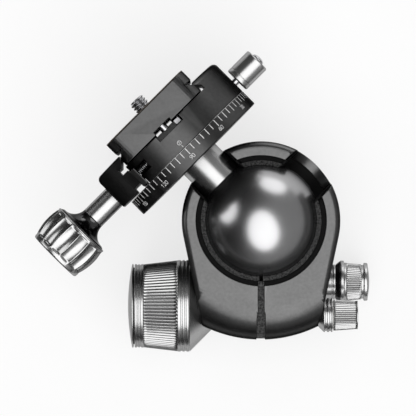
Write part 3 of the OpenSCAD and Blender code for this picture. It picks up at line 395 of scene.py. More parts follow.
def bearing_grey():
    """Hard anodised grey of the hidden rings."""
    finish = Finish("bearing_grey", (0.3, 0.3, 0.31), metallic=0.9, roughness=0.36)
    tone = finish.ramp(finish.noise(600, 3), (0.3, (0.26, 0.26, 0.27)), (0.7, (0.36, 0.36, 0.37)))
    finish.set("Base Color", tone)
    finish.bump(finish.noise(1900), 0.1, 0.00002)
    return finish.material


def gloss_black():
    """Polished black anodising of the flared collar."""
    finish = Finish(
        "gloss_black", (0.09, 0.09, 0.09), metallic=1.0, roughness=0.17,
        Specular_Tint=(0.4, 0.4, 0.4, 1),
    )
    tone = finish.ramp(finish.noise(500), (0.3, (0.08, 0.08, 0.081)), (0.7, (0.1, 0.1, 0.101)))
    finish.set("Base Color", tone)
    finish.set("Roughness", finish.ramp(finish.noise(300), (0.3, 0.15), (0.7, 0.19)))
    return finish.material


def speckled(name, dark, light, rim_z=None):
    """Moulded plastic filled with pale fibre: light specks on a dark ground. With a rim, the specks
    show only above it, where the face is cut, and the moulded skin below is plain."""
    scale, fade = 1500.0, 0.4
    finish = Finish(name, dark, roughness=0.65, Specular_IOR_Level=0.1)
    grains = finish.noise(scale, 5, 0.75)
    colour = finish.ramp(grains, (0.4, dark), (0.62, light))
    if rim_z:
        split = finish.tree.nodes.new("ShaderNodeSeparateXYZ")
        finish.link(finish.coordinates, split.inputs["Vector"])
        height = finish.tree.nodes.new("ShaderNodeMapRange")
        height.inputs["From Min"].default_value = (rim_z - fade) * MM
        height.inputs["From Max"].default_value = rim_z * MM
        finish.link(split.outputs["Z"], height.inputs["Value"])
        mix = finish.tree.nodes.new("ShaderNodeMix")
        mix.data_type = "RGBA"
        finish.link(height.outputs["Result"], mix.inputs["Factor"])
        mix.inputs["A"].default_value = (*dark, 1.0)
        finish.link(colour, mix.inputs["B"])
        colour = mix.outputs["Result"]
    finish.set("Base Color", colour)
    finish.set("Roughness", finish.ramp(grains, (0.35, 0.7), (0.65, 0.55)))
    finish.bump(grains, 0.3, 0.00006)
    return finish.material


def band_rubber():
    """Black rubber of the band round the liner."""
    finish = Finish("band_rubber", (0.006, 0.006, 0.006), roughness=0.6, Specular_IOR_Level=0.04)
    grain = finish.noise(1400, 4)
    tone = finish.ramp(grain, (0.35, (0.003, 0.003, 0.003)), (0.7, (0.008, 0.008, 0.008)))
    finish.set("Base Color", tone)
    finish.set("Roughness", finish.ramp(grain, (0.3, 0.55), (0.7, 0.65)))
    finish.bump(grain, 0.15, 0.00004)
    return finish.material


def washer_plastic():
    """White acetal of the washers."""
    finish = Finish("washer_plastic", (0.78, 0.77, 0.74), roughness=0.4)
    tone = finish.ramp(finish.noise(200), (0.3, (0.74, 0.73, 0.7)), (0.7, (0.82, 0.81, 0.79)))
    finish.set("Base Color", tone)
    finish.bump(finish.noise(1500), 0.08, 0.00003)
    return finish.material


def pad_rubber():
    """Brown-black rubber of the camera plate's pad, with a fine moulded grain."""
    finish = Finish("pad_rubber", (0.03, 0.022, 0.016), roughness=0.75)
    grain = finish.noise(1300, 4, 0.65)
    finish.set(
        "Base Color", finish.ramp(grain, (0.35, (0.022, 0.016, 0.012)), (0.7, (0.06, 0.043, 0.03)))
    )
    finish.bump(grain, 0.5, 0.00012)
    return finish.material


def plain_brass():
    """Turned brass of the pressing plugs."""
    finish = Finish("plain_brass", (0.72, 0.5, 0.2), metallic=1.0, roughness=0.32)
    tone = finish.ramp(finish.noise(300), (0.3, (0.62, 0.42, 0.16)), (0.7, (0.8, 0.57, 0.25)))
    finish.set("Base Color", tone)
    finish.bump(finish.noise(2000), 0.08, 0.00002)
    return finish.material


def scale_paint():
    """White paint in the engraved scale."""
    finish = Finish("scale_paint", (0.75, 0.75, 0.75), roughness=0.55)
    tone = finish.ramp(finish.noise(1500), (0.3, (0.62, 0.62, 0.62)), (0.7, (0.82, 0.82, 0.82)))
    finish.set("Base Color", tone)
    return finish.material


BLACK = black_anodised("black_anodised", 0.103)
# The housing's anodising made darker for the clamp, camera plate and scale disc: painted shade
SHADED_CLAMP_BLACK = black_anodised("black_anodised_clamp_shaded", 0.066)
CHROME = polished_ball()
SILVER_X = turned_silver("turned_silver_x", (250, 8, 8))
SILVER_STEM = turned_silver("turned_silver_stem", (8, 250, 8), (0, 0, 45))
SILVER_CLAMP = turned_silver("turned_silver_clamp", (250, 8, 8), (0, 0, 45))
STEEL = bright_steel()
DARK_STEEL = blackened_steel()
BEARING = bearing_grey()
GLOSS = gloss_black()
LINER = speckled("liner_plastic", (0.004, 0.004, 0.004), (0.07, 0.07, 0.07), rim_z=47.0)
FILLER = speckled("filler_plastic", (0.006, 0.006, 0.006), (0.09, 0.09, 0.09))
BAND = band_rubber()
WASHER = washer_plastic()
RUBBER = pad_rubber()
BRASS = plain_brass()
PAINT = scale_paint()


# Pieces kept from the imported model: their material, and the width in millimetres to which their
# edges are rounded
KEPT = {
    "base_plate": (BLACK, 0.15),
    "thread_insert": (STEEL, 0.1),
    "pan_washer": (WASHER, 0.05),
    "lift_washer": (WASHER, 0.05),
    "retainer": (BEARING, 0.1),
    "retainer_screws": (STEEL, 0.05),
    "bearing_ring": (BEARING, 0.1),
    "ring_screws": (DARK_STEEL, 0.05),
    "housing": (BLACK, 0.2),
    "ball_liner": (LINER, 0.12),
    "lip_band": (BAND, 0.12),
    "slot_filler": (FILLER, 0.08),
    "main_screw": (STEEL, 0.1),
    "main_washer": (WASHER, 0.08),
    "barrel_nut": (STEEL, 0.15),
    "friction_screw": (STEEL, 0.1),
    "friction_washer": (WASHER, 0.05),
    "pan_screw": (STEEL, 0.1),
    "pan_plug": (BRASS, 0.1),
    "stem_bolt": (DARK_STEEL, 0.1),
    "glide_washer": (WASHER, 0.05),
    "clamp_body": (SHADED_CLAMP_BLACK, 0.2),
    "guide_pins": (STEEL, 0.15),
    "groove_key": (BEARING, 0.15),
    "movable_jaw": (SHADED_CLAMP_BLACK, 0.2),
    "jaw_screw": (STEEL, 0.1),
    "nip_shoe": (BRASS, 0.1),
    "camera_plate": (SHADED_CLAMP_BLACK, 0.25),
    "plate_pad": (RUBBER, 0.1),
    "stop_screws": (STEEL, 0.15),
    "screw_clip": (STEEL, 0.05),
}


def dress_kept():
    """Puts its finish on each node that stays."""
    for name, (material, width) in KEPT.items():
        node = nodes[name]
        node.data.materials.clear()
        node.data.materials.append(material)
        ease_edges(node, width, HOUSING_SHARP_TURN if name == "housing" else SHARP_TURN)


# Knobs

# Radius of the fine hole that a knob with a blind bore keeps on its axis
PINHOLE_R = 0.3


def ridge_relief(count, depth, start, end, ease=0.25):
    """Straight triangular knurls: a triangle wave round the axis, which fades in from start and
    fades out to end."""

    def relief(z, r, angle):
        phase = (angle * count / TURN) % 1.0
        shape = 1.0 - 2.0 * np.abs(phase - 0.5)
        run = np.clip(np.minimum(z - start, end - z) / ease, 0.0, 1.0)
        return depth * shape * run

    return relief


def along(start, end, steps):
    """Points (z, r) evenly from start to end, without the ends."""
    t = np.linspace(0, 1, steps + 1)[1:-1, None]
    return [tuple(p) for p in (1 - t) * np.array(start) + t * np.array(end)]


def groove(z, r):
    """Corners of one turned groove round the height z."""
    half, depth = 0.35, 0.28
    return [
        (z - half, r, 0.08),
        (z - half + 0.08, r - depth, 0.12),
        (z + half - 0.08, r - depth, 0.12),
        (z + half, r, 0.08),
    ]


def main_knob():
    """Large lock knob: a band with two grooves, a ridged grip that narrows, a grooved end band."""
    face, grip, end, rim = 26.57, 30.77, 43.77, 46.97
    big, small, wall, hub, well, bore = 17.1, 15.6, 12.6, 9.5, 6.55, 4.1
    back, floor, well_end = 27.07, 30.07, 38.77
    line = rounded(
        [(back, hub), (face, hub, 0.1), (face, big, 0.35)]
        + groove(28.0, big)
        + groove(29.45, big)
        + [(grip, big, 0.1), (grip + 0.12, big - 0.1)]
        + along((grip + 0.12, big - 0.1), (end - 0.12, small - 0.1), 16)
        + [(end - 0.12, small - 0.1), (end, small, 0.1)]
        + groove(end + 1.07, small)
        + groove(end + 2.13, small)
        + [(rim, small, 0.3), (rim, wall, 0.1), (floor, wall), (floor, hub), (end, hub)]
        + [(end, well), (well_end, well), (well_end, bore), (back, bore)]
    )
    return revolved(
        "main_knob_turned", line, LEFT_OF_MAIN, "main_knob", SILVER_X, "satin_silver", "main_knob",
        # The ridges' valleys get painted shade
        around=640, relief=ridge_relief(80, 0.6, grip + 0.05, end - 0.05), shade_grooves=True,
    )


def main_knob_cap():
    """Domed cap of the lock knob: a shadow gap, then a plain edge, then a low dome."""
    rim, tip, r, gap, edge, foot = 46.97, 49.47, 15.6, 0.45, 0.95, 14.3
    seat, plug = 44.97, 12.55
    rise = tip - rim - edge
    ball = (r * r + rise * rise) / (2 * rise)
    turn = np.linspace(math.asin((r - 0.35) / ball), 0, 24)
    dome = [(tip - ball + ball * math.cos(t), ball * math.sin(t)) for t in turn]
    line = rounded(
        [(seat, 0), (seat, plug, 0.1), (rim + 0.02, plug), (rim + 0.02, foot, 0.05)]
        + [(rim + gap, foot), (rim + gap, r, 0.15), (rim + edge, r, 0.3), dome[0]]
    )
    line = np.vstack([line, dome[1:-1], [(tip, 0.0)]])
    return revolved(
        "main_knob_dome", line, LEFT_OF_MAIN, "main_knob", SILVER_X, "satin_silver",
        "main_knob_cap", around=192,
    )


def friction_collar():
    """Ribbed collar that sits in the housing's side."""
    seat, root, face, r, rib = 21.29, 23.39, 26.59, 6.3, 0.4
    line = rounded(
        [(seat, 2.6), (seat, r - 2.1, 0.1), (root, r, 0.15), (23.79, r, 0.12)]
        + [(23.85, r - rib, 0.1), (24.53, r - rib, 0.1), (24.59, r, 0.12), (25.39, r, 0.12)]
        + [(25.45, r - rib, 0.1)]
        + [(26.0, r - rib, 0.1), (26.06, r, 0.12), (face, r, 0.2), (face, 2.6)]
    )
    return revolved(
        "friction_collar_ribbed", line, RIGHT_OF_FRICTION, "housing", SILVER_X, "satin_silver",
        "friction_collar", around=128,
    )


def friction_knob():
    """Small friction knob: fine ridges nearly from end to end, a plain outer rim, a dished face."""
    start, end, big, small, rim, first = 26.99, 35.99, 5.9, 5.3, 0.35, 0.1
    bore, bore_end, dish = 2.55, 33.1, 0.35
    inner, outer = (start + first + 0.1, big - 0.1), (end - rim - 0.1, small - 0.1)
    line = rounded(
        [(start, bore), (start, big, 0.1), (start + first, big, 0.05), inner]
        + along(inner, outer, 12)
        + [outer, (end - rim, small, 0.1), (end, small, 0.35), (end - 0.02, small - 1.0, 0.2)]
        + [(end - dish, small - 1.4, 0.2), (end - dish, 0.6), (end - dish, PINHOLE_R)]
        + [(bore_end, PINHOLE_R), (bore_end, bore)]
    )
    return revolved(
        "friction_knob_turned", line, RIGHT_OF_FRICTION, "friction_knob", SILVER_X, "satin_silver",
        "friction_knob", around=336,
        # The ridges' valleys get painted shade
        relief=ridge_relief(42, 0.38, start + first, end - rim, 0.1), shade_grooves=True,
    )


def pan_collar():
    """Bare collar of the pan lock."""
    start, end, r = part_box("pan_collar")[0].x / MM, 28.42, 6.5
    line = rounded([(start, 3.05), (start, r, 0.1), (end - 1.5, r, 0.1), (end - 1.4, r - 0.25, 0.1),
                    (end - 1.0, r - 0.25, 0.1), (end - 0.9, r, 0.1), (end, r, 0.25), (end, 3.05)])
    return revolved(
        "pan_collar_turned", line, RIGHT_OF_PAN, "housing", SILVER_X, "satin_silver", "pan_collar",
        around=128,
    )


def pan_knob_ring():
    """Black ring behind the pan knob's flange."""
    line = rounded([(28.52, 3.05), (28.52, 6.5, 0.2), (30.22, 7.9, 0.15), (30.22, 3.05)])
    return revolved(
        "pan_ring_black", line, RIGHT_OF_PAN, "pan_knob", GLOSS, "gloss_black", "pan_knob_ring",
        around=128,
    )


def pan_knob():
    """Pan lock knob: flange, neck, ridged grip, neck, rim and a low dome."""
    start, end = 30.22, 41.22
    grip, rim, dome, bore, bore_end = start + 2.1, end - 2.2, 30.0, 3.05, 38.3
    radii = (6.0, 5.0, 4.0, 3.0, 2.0, 1.0, PINHOLE_R)
    face = [(end - dome + math.sqrt(dome**2 - r**2), r) for r in radii]
    line = rounded(
        [(start, bore), (start, 8.0, 0.3), (start + 1.4, 8.0, 0.35), (start + 1.45, 7.3, 0.1)]
        + [(grip, 7.2, 0.05)]
        + along((grip, 7.2), (rim - 0.95, 6.6), 12)
        + [(rim - 0.9, 6.6, 0.05), (rim - 0.85, 6.35, 0.1), (rim, 6.35, 0.1)]
        + [(rim + 0.05, 7.15, 0.3), (rim + 1.5, 7.1, 0.45)]
        + face
        + [(bore_end, PINHOLE_R), (bore_end, bore)]
    )
    return revolved(
        "pan_knob_turned", line, RIGHT_OF_PAN, "pan_knob", SILVER_X, "satin_silver", "pan_knob",
        # The ridges' valleys get painted shade
        around=400, relief=ridge_relief(50, 0.4, grip, rim - 0.95, 0.15), shade_grooves=True,
    )


# Ball, stem and scale disc


def ball():
    """Ball with its stem seat cut flat. The rows are circles of equal turn."""
    turn = np.linspace(math.pi, math.asin(STEM_R / BALL_R), 120)
    line = [(BALL_R * math.cos(t), BALL_R * math.sin(t)) for t in turn]
    line[0] = (-BALL_R, 0.0)
    line += [(STEM_ROOT, STEM_R - 0.4), (STEM_ROOT, 3.1), (STEM_ROOT, 0.0)]
    return revolved(
        "ball_polished", line, STEM_AXIS, "ball", CHROME, "ball_polish", "ball", around=192
    )


def stem():
    """Bright stem with eased ends and the boss that centres the disc."""
    r = STEM_R
    line = rounded(
        [(STEM_ROOT, 3.1), (STEM_ROOT, r, 0.05), (DISC_Z, r, 0.15), (DISC_Z, 5.5)]
        + [(DISC_Z + 1.5, 5.5, 0.2), (DISC_Z + 1.5, 3.1)]
    )
    return revolved(
        "stem_turned", line, STEM_AXIS, "ball", SILVER_STEM, "satin_silver", "stem", around=192
    )


def scale_disc():
    """Disc with the degree scale: eased edges, a recess for the washer, a hub with a V groove."""
    top, r = DISC_TOP, DISC_R
    line = rounded(
        [(DISC_Z, 5.55), (DISC_Z, r, 0.35), (top, r, 0.25), (top, 22.1), (top - 0.6, 22.1)]
        + [(top - 0.6, 12.9), (top, 12.9), (top, 9.5), (41.69, 9.5, 0.1), (43.0, 8.2, 0.1)]
        + [(44.31, 9.5, 0.1), (45.2, 9.5, 0.2), (45.2, 5.1, 0.1), (39.2, 5.1), (39.2, 3.1)]
        + [(DISC_Z + 1.6, 3.1), (DISC_Z + 1.6, 5.55)]
    )
    return revolved(
        "scale_disc_turned", line, STEM_AXIS, "ball", SHADED_CLAMP_BLACK, "anodised_black", "scale_disc",
        around=256,
    )


# Scale. A stroke is a line of points (s, h): the way round the disc and the height, in millimetres.
STROKE_WIDTH = 0.27
NUMBER_WIDTH = 0.17
PAINT_HEIGHT = 0.02
INDEX_TURN = -2.4
DIGITS = {
    "0": [(0, 0.2), (0, 0.8), (0.15, 1), (0.45, 1), (0.6, 0.8), (0.6, 0.2), (0.45, 0), (0.15, 0),
          (0, 0.2)],
    "1": [(0.1, 0.75), (0.3, 1), (0.3, 0)],
    "2": [(0, 0.8), (0.15, 1), (0.45, 1), (0.6, 0.8), (0.6, 0.6), (0, 0), (0.6, 0)],
    "3": [(0, 1), (0.6, 1), (0.28, 0.6), (0.45, 0.6), (0.6, 0.45), (0.6, 0.15), (0.45, 0),
          (0.1, 0), (0, 0.15)],
    "4": [(0.45, 0), (0.45, 1), (0, 0.3), (0.6, 0.3)],
    "5": [(0.6, 1), (0.05, 1), (0, 0.55), (0.42, 0.6), (0.6, 0.42), (0.6, 0.15), (0.45, 0),
          (0.1, 0), (0, 0.12)],
    "6": [(0.52, 1), (0.15, 0.75), (0, 0.4), (0, 0.15), (0.15, 0), (0.45, 0), (0.6, 0.15),
          (0.6, 0.4), (0.45, 0.55), (0.15, 0.55), (0, 0.4)],
    "7": [(0, 1), (0.6, 1), (0.2, 0)],
    "8": [(0.3, 0.53), (0.06, 0.7), (0.06, 0.88), (0.2, 1), (0.4, 1), (0.54, 0.88), (0.54, 0.7),
          (0.3, 0.53), (0, 0.35), (0, 0.13), (0.15, 0), (0.45, 0), (0.6, 0.13), (0.6, 0.35),
          (0.3, 0.53)],
    "9": [(0.08, 0), (0.45, 0.25), (0.6, 0.6), (0.6, 0.85), (0.45, 1), (0.15, 1), (0, 0.85),
          (0, 0.6), (0.15, 0.45), (0.45, 0.45), (0.6, 0.6)],
}


def painted(name, strokes, body, width=STROKE_WIDTH):
    """White lines on the disc's rim. Each stretch of a stroke is a thin bar: its two ends, moved
    half a line's width to either side, at the rim's radius and a paint's thickness outside it."""
    ends = np.array([(a, b) for stroke in strokes for a, b in zip(stroke[:-1], stroke[1:])], float)
    run = ends[:, 1] - ends[:, 0]
    run /= np.linalg.norm(run, axis=1, keepdims=True)
    side = np.stack([-run[:, 1], run[:, 0]], -1) * width / 2
    reach = run * width / 3
    start, end = ends[:, 0] - reach, ends[:, 1] + reach
    corners = np.stack([start - side, end - side, end + side, start + side], 1)
    turn = corners[..., 0] / DISC_R
    layers = [
        np.stack([r * np.sin(turn), -r * np.cos(turn), corners[..., 1]], -1)
        for r in (DISC_R - PAINT_HEIGHT, DISC_R + PAINT_HEIGHT)
    ]
    points = np.concatenate(layers, 1).reshape(-1, 3)
    sides = [[0, 1, 5, 4], [1, 2, 6, 5], [2, 3, 7, 6], [3, 0, 4, 7]]
    box = np.array([[3, 2, 1, 0], [4, 5, 6, 7], *sides])
    faces = (np.arange(len(ends))[:, None, None] * 8 + box).reshape(-1, 4).tolist()
    piece = mesh_piece(name, moved(points, STEM_AXIS), faces, body, PAINT, "washer_white")
    piece.data.polygons.foreach_set("use_smooth", np.zeros(len(faces), bool))


def scale_marks():
    """A tick every five degrees, a longer one every ten, and a number every thirty."""
    top, short, long, low, size, pitch = DISC_TOP - 0.35, 2.2, 2.6, 33.85, 1.35, 1.1
    strokes, numbers = [], []
    for degree in range(0, 360, 5):
        s = math.radians(INDEX_TURN + 90 - degree) * DISC_R
        strokes.append([(s, top), (s, top - (short if degree % 10 else long))])
        if degree % 30 == 0:
            text = str(degree)
            left = s - (len(text) - 1) * pitch / 2 - 0.3 * size
            for k, digit in enumerate(text):
                shape = [(left + k * pitch + x * size, low + y * size) for x, y in DIGITS[digit]]
                numbers.append(shape)
    painted("scale_marks", strokes, "ball")
    painted("scale_numbers", numbers, "ball", NUMBER_WIDTH)


def index_mark():
    """Small ring with a line below it, on the clamp."""
    s, h, r = math.radians(INDEX_TURN) * DISC_R, 41.3, 0.75
    turn = np.linspace(0, TURN, 17)
    ring = [(s + r * math.sin(t), h + r * math.cos(t)) for t in turn]
    marks = [ring, [(s, h + 0.3), (s, h - 0.3)], [(s, 40.1), (s, 39.3)]]
    painted("index_mark", marks, "clamp", NUMBER_WIDTH)


def scale_seam():
    """Bare cut edge of the scale disc, beside the clamp."""
    low, high, inner, outer = 38.5, DISC_TOP - 0.02, DISC_R - 0.1, DISC_R + 0.012
    line = [(low, inner), (low, outer), (high, outer), (high, inner)]
    return revolved(
        "scale_seam", line, STEM_AXIS, "ball", SILVER_STEM, "satin_silver", around=256
    )


def boss_cone():
    """Bare turned cone of the housing's boss behind the main knob."""
    line = [(18.0, 8.3), (18.0, 8.6), (26.35, 17.0), (26.45, 17.0), (26.45, 16.7)]
    return revolved(
        "boss_cone", line, LEFT_OF_MAIN, "housing", SILVER_X, "satin_silver", around=192
    )


# Clamp knob and clamp lock


def knob_shaft():
    """Silver sleeve between the jaw and the flare."""
    start, end, r = 32.3, 43.3, 4.45
    line = rounded([(start, 3.05), (start, r, 0.2), (end, r, 0.1), (end, 3.05)])
    return revolved(
        "knob_shaft_turned", line, CLAMP_KNOB_AXIS, "clamp_knob", SILVER_CLAMP, "satin_silver",
        "knob_shaft", around=128,
    )


def knob_flare():
    """Black flare: a quarter circle that opens from the shaft's radius, then a straight lip out to
    the barrel's."""
    start, end, r, root, bore, lip_width = 43.3, 49.2, 4.45, 11.0, 3.05, 0.6
    sweep = min(root - r, end - start - lip_width)
    turn = np.linspace(0, math.pi / 2, 20)
    curve = [(start + sweep * math.sin(t), r + sweep * (1 - math.cos(t))) for t in turn]
    lip = rounded([curve[-1], (end, root, 0.2), (end, bore)])
    line = np.vstack([[(start, bore)], curve, lip[1:]])
    return revolved(
        "knob_flare_gloss", line, CLAMP_KNOB_AXIS, "clamp_knob", GLOSS, "gloss_black", "knob_flare",
        around=160,
    )


def knob_barrel():
    """Fluted barrel: a round bead, bowed sides, fifteen round flutes with short ends between two
    rims, and a rounded end. The bead is most of a half circle on the barrel's line."""
    start, end, root, small, bore, bore_end = 49.2, 63.6, 11.05, 10.6, 3.05, 56.4
    count, flute_r, depth, rim, edge, bead = 15, 3.2, 1.0, 1.1, 1.6, 0.35
    turn = np.linspace(0.15 * math.pi, 0.9 * math.pi, 9)
    ring = [(start + 0.1 + bead * (1 - math.cos(t)), root + bead * math.sin(t)) for t in turn]
    bow = bowed((start + rim, 11.35), (end - edge, 10.7), 0.85, 28)
    line = np.vstack([
        [(start, bore), (start, root - 0.1)],
        ring,
        bow,
        rounded([bow[-1], (end, small, edge), (end, small - 2.6, 0.3), (end, 0.6)], 8)[1:],
        [(end, PINHOLE_R), (bore_end, PINHOLE_R), (bore_end, bore)],
    ])

    def flutes(z, r, angle):
        """Round flutes that run out at both rims."""
        across = (angle * count / TURN) % 1.0 - 0.5
        side = across * TURN / count * r
        run = np.clip(np.minimum(z - start - rim, end - edge - 0.4 - z) / 0.5, 0.0, 1.0)
        reach = np.sqrt(np.clip(1 - (1 - run) ** 2, 0, 1))
        cut = np.sqrt(np.clip(flute_r**2 - side**2, 0, None)) - (flute_r - depth)
        return np.clip(cut, 0, None) * reach * (r > 9.0)

    return revolved(
        "knob_barrel_fluted", line, CLAMP_KNOB_AXIS, "clamp_knob", SILVER_CLAMP, "satin_silver",
        "knob_barrel", around=480, relief=flutes,
    )


def release_springs():
    """Two coil springs. The wire's line is a helix along w, and its surface is a circle round that
    line, spanned by the radial direction and by the one square to it and to the line's run."""
    start, length, h, half_pitch = -19.5, 4.9, 44.4, 19.5
    coil_r, wire_r, turns, around = 1.42, 0.2, 6.5, 10
    t = np.linspace(0, 1, 240)
    a = turns * TURN * t
    radial = np.stack([0 * a, np.cos(a), np.sin(a)], -1)
    tangent = np.stack([0 * a, -np.sin(a), np.cos(a)], -1) * coil_r * turns * TURN
    tangent[:, 0] = length - 2 * wire_r
    tangent /= np.linalg.norm(tangent, axis=1, keepdims=True)
    square = np.cross(tangent, radial)
    line = radial * coil_r
    line[:, 0] = start + wire_r + (length - 2 * wire_r) * t
    b = np.arange(around) * TURN / around
    surface = line[:, None] + wire_r * (
        np.cos(b)[:, None] * radial[:, None] + np.sin(b)[:, None] * square[:, None]
    )
    one = surface.reshape(-1, 3)
    count = len(one)
    wall = grid_faces(len(t), around).tolist()
    caps = [list(range(around))[::-1], list(range(count - around, count))]
    both = np.vstack([one + (0, half_pitch, h), one + (0, -half_pitch, h)])
    faces = wall + caps
    faces += [[k + count for k in face] for face in faces]
    mesh_piece(
        "release_coils", moved(both, STEM_AXIS), faces, "clamp", STEEL, "steel", "release_springs"
    )


def nip_knob():
    """Small polished knob of the clamp's pan lock."""
    start, end, r = 30.4, 41.2, 4.9
    line = rounded(
        [(start, 1.45), (start, r - 0.4, 0.1), (start + 0.4, r, 0.2), (start + 2.0, r, 0.05)]
        + [(start + 2.06, r - 0.14, 0.04), (start + 2.2, r - 0.14, 0.04), (start + 2.26, r, 0.05)]
        + [(end - 0.4, r, 0.25), (end, r - 0.4, 0.15), (end, 1.45)]
    )
    return revolved(
        "nip_knob_turned", line, NIP_AXIS, "nip_knob", SILVER_CLAMP, "satin_silver", "nip_knob",
        around=128,
    )


def nip_screw():
    """Screw of the small knob with its domed head."""
    seat, head, low = 41.2, 2.4, 14.8
    turn = np.linspace(0, math.pi / 2, 12)
    dome = [(seat + 0.35 + 0.95 * math.sin(t), head * math.cos(t)) for t in turn]
    shank = [(low, 0), (low, 1.4), (seat, 1.4), (seat, head)]
    line = np.vstack([shank, dome[:-1], [(seat + 1.3, 0.0)]])
    return revolved(
        "nip_screw_domed", line, NIP_AXIS, "nip_knob", STEEL, "steel", "nip_screw", around=96
    )


def camera_screw():
    """Camera screw: a flat round head, a neck, and a tip with a helical thread, whose depth follows
    a clipped triangle wave of height less turn times pitch."""
    pitch, depth, r, neck = 1.27, 0.6, 3.175, 2.675
    low, head_top, head_r = 52.3, 55.5, 6.2
    root, tip = 59.6, 64.6
    shank = along((root + 0.05, r), (tip - 0.05, r), 64)
    head = rounded(
        [(low, 0), (low, head_r, 0.3), (head_top, head_r, 0.3), (head_top, neck, 0.1), (root, neck)]
    )
    line = np.vstack([head, shank, [(tip, r - 0.5), (tip, 0.0)]])

    def thread(z, radius, angle):
        """Depth of the thread under its crest, which fades in at the root and at the tip."""
        phase = ((z - root) / pitch - angle / TURN) % 1.0
        shape = np.clip(2.4 * np.abs(phase - 0.5) - 0.1, 0, 1)
        lead = np.clip((tip - z) / 0.7, 0, 1)
        return np.where(z > root + 0.01, depth * shape + 0.45 * (1 - lead), 0.0) * (radius > 2)

    return revolved(
        "camera_screw_threaded", line, CAMERA_SCREW_AXIS, "camera_screw", STEEL, "steel",
        "camera_screw", around=96, relief=thread,
    )


dress_kept()
for build in (
    main_knob, main_knob_cap, friction_collar, friction_knob, pan_collar, pan_knob_ring, pan_knob,
    ball, stem, scale_disc, scale_marks, index_mark, scale_seam, boss_cone, knob_shaft, knob_flare,
    knob_barrel, release_springs, nip_knob, nip_screw, camera_screw,
):
    build()


# Stage, lamps and camera

# Share of the floor's light, as seen and reflected, that no shadow darkens
GLOW_SHARE = 0.72
# The direction towards which the room grows brighter, and its tones from the far side to that one
ROOM_BRIGHT_SIDE = (0.95, -0.25, 0.2)
ROOM_TONES = [(0.2, 0.02), (0.37, 0.06), (0.55, 0.2), (0.7, 0.34), (1.0, 0.36)]


def studio():
    """Pale floor, and a soft room that is dark to the left and mid grey to the right."""
    side = 4.0
    corners = [(-side, -side, 0), (side, -side, 0), (side, side, 0), (-side, side, 0)]
    mesh = bpy.data.meshes.new("floor")
    mesh.from_pydata(corners, [], [(0, 1, 2, 3)])
    floor = bpy.data.objects.new("floor", mesh)
    bpy.context.scene.collection.objects.link(floor)
    paper = Finish("floor_paper", (0.95, 0.95, 0.95), roughness=0.9)
    paper.set("Base Color", paper.ramp(paper.noise(40), (0.3, 0.95), (0.7, 0.97)))
    mesh.materials.append(paper.material)
    glow = paper.tree.nodes.new("ShaderNodeEmission")
    path = paper.tree.nodes.new("ShaderNodeLightPath")
    seen = path.outputs["Is Camera Ray"]
    for ray in ("Is Glossy Ray", "Is Transmission Ray"):
        either = paper.tree.nodes.new("ShaderNodeMath")
        either.operation = "MAXIMUM"
        paper.link(seen, either.inputs[0])
        paper.link(path.outputs[ray], either.inputs[1])
        seen = either.outputs[0]
    share = paper.tree.nodes.new("ShaderNodeMath")
    share.operation = "MULTIPLY"
    share.inputs[1].default_value = GLOW_SHARE
    paper.link(seen, share.inputs[0])
    mix = paper.tree.nodes.new("ShaderNodeMixShader")
    paper.link(share.outputs[0], mix.inputs["Fac"])
    paper.link(paper.shader.outputs[0], mix.inputs[1])
    paper.link(glow.outputs[0], mix.inputs[2])
    paper.link(mix.outputs[0], paper.tree.nodes["Material Output"].inputs["Surface"])

    world = bpy.data.worlds.new("room")
    world.use_nodes = True
    bpy.context.scene.world = world
    tree = world.node_tree
    direction = tree.nodes.new("ShaderNodeTexCoord")
    toward = tree.nodes.new("ShaderNodeVectorMath")
    toward.operation = "DOT_PRODUCT"
    toward.inputs[1].default_value = ROOM_BRIGHT_SIDE
    tree.links.new(direction.outputs["Generated"], toward.inputs[0])
    shift = tree.nodes.new("ShaderNodeMapRange")
    shift.inputs["From Min"].default_value = -1.0
    tree.links.new(toward.outputs["Value"], shift.inputs["Value"])
    shade = tree.nodes.new("ShaderNodeValToRGB")
    points = shade.color_ramp.elements
    while len(points) < len(ROOM_TONES):
        points.new(1.0)
    for point, (place, tone) in zip(points, ROOM_TONES):
        point.position = place
        point.color = (tone, tone, tone, 1.0)
    tree.links.new(shift.outputs["Result"], shade.inputs["Fac"])
    tree.links.new(shade.outputs["Color"], tree.nodes["Background"].inputs["Color"])


def softbox(name, place, target, width, height, radiance):
    """An oval lamp at a place, facing a target, that shines at a radiance."""
    lamp = bpy.data.lights.new(name, "AREA")
    lamp.shape = "ELLIPSE"
    lamp.size, lamp.size_y = width, height
    area = width * height * (math.pi / 4)
    lamp.energy = radiance * math.pi * area
    piece = bpy.data.objects.new(name, lamp)
    bpy.context.scene.collection.objects.link(piece)
    aim = Vector(place) - Vector(target)
    piece.location = place
    piece.rotation_euler = aim.to_track_quat("Z", "Y").to_euler()
    piece.visible_camera = False


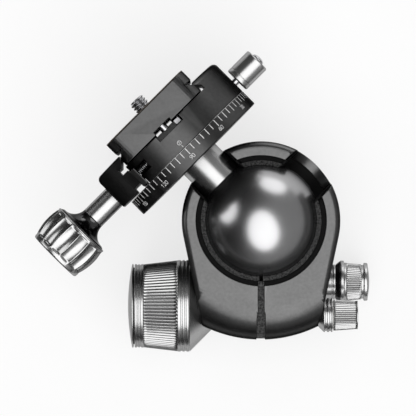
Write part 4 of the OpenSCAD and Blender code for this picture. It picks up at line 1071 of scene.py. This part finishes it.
def lamps():
    """A large softbox overhead that leans to the front, a small one at the left, one behind."""
    centre = (0, 0, 0.04)
    softbox("key", (0.09, -0.43, 1.21), centre, 1.4, 2.1, 2.3)
    softbox("left", (-0.87, 0.25, 0.37), centre, 0.66, 0.7, 2.0)
    softbox("back", (0.30, 0.88, 0.22), centre, 0.7, 0.66, 2.1)


def card():
    """A low dark card round the head, open behind, which only reflections see: a flat foot on the
    floor and an upright edge. Its points lie on two circles, the outer one at two heights."""
    radius, height, lift, inner, first, last = 0.21, 0.05, 0.0005, 0.6, 125, 395
    angle = np.radians(np.linspace(first, last, 55))
    ring = np.stack([radius * np.cos(angle), radius * np.sin(angle)], -1)
    foot = np.column_stack([ring * inner, np.full(len(ring), lift)])
    low = np.column_stack([ring, np.full(len(ring), lift)])
    high = np.column_stack([ring, np.full(len(ring), height)])
    faces = grid_faces(3, len(ring), wrap_columns=False).tolist()
    mesh = bpy.data.meshes.new("card")
    mesh.from_pydata(np.vstack([foot, low, high]).tolist(), [], faces)
    piece = bpy.data.objects.new("card", mesh)
    bpy.context.scene.collection.objects.link(piece)
    board = Finish("card_board", (0.04, 0.04, 0.04), roughness=0.9)
    split = board.tree.nodes.new("ShaderNodeSeparateXYZ")
    board.link(board.coordinates, split.inputs["Vector"])
    board.set("Base Color", board.ramp(split.outputs["X"], (0.0, 0.03), (0.15, 0.08)))
    mesh.materials.append(board.material)
    piece.visible_camera = False
    piece.visible_shadow = False
    piece.visible_diffuse = False


def camera():
    """Long lens straight above the head, framed as in the photograph: the view is as wide as the
    field at the given level, which lies the height below the lens."""
    field, level, height, x, y, sensor = 0.1552, 0.03, 1.6, -0.0196, 0.00466, 36
    lens = bpy.data.cameras.new("camera")
    lens.sensor_width = sensor
    lens.lens = sensor * height / field
    view = bpy.data.objects.new("camera", lens)
    view.location = (x, y, height + level)
    bpy.context.scene.collection.objects.link(view)
    bpy.context.scene.camera = view


studio()
lamps()
card()
camera()
bpy.context.scene.view_settings.view_transform = "Standard"
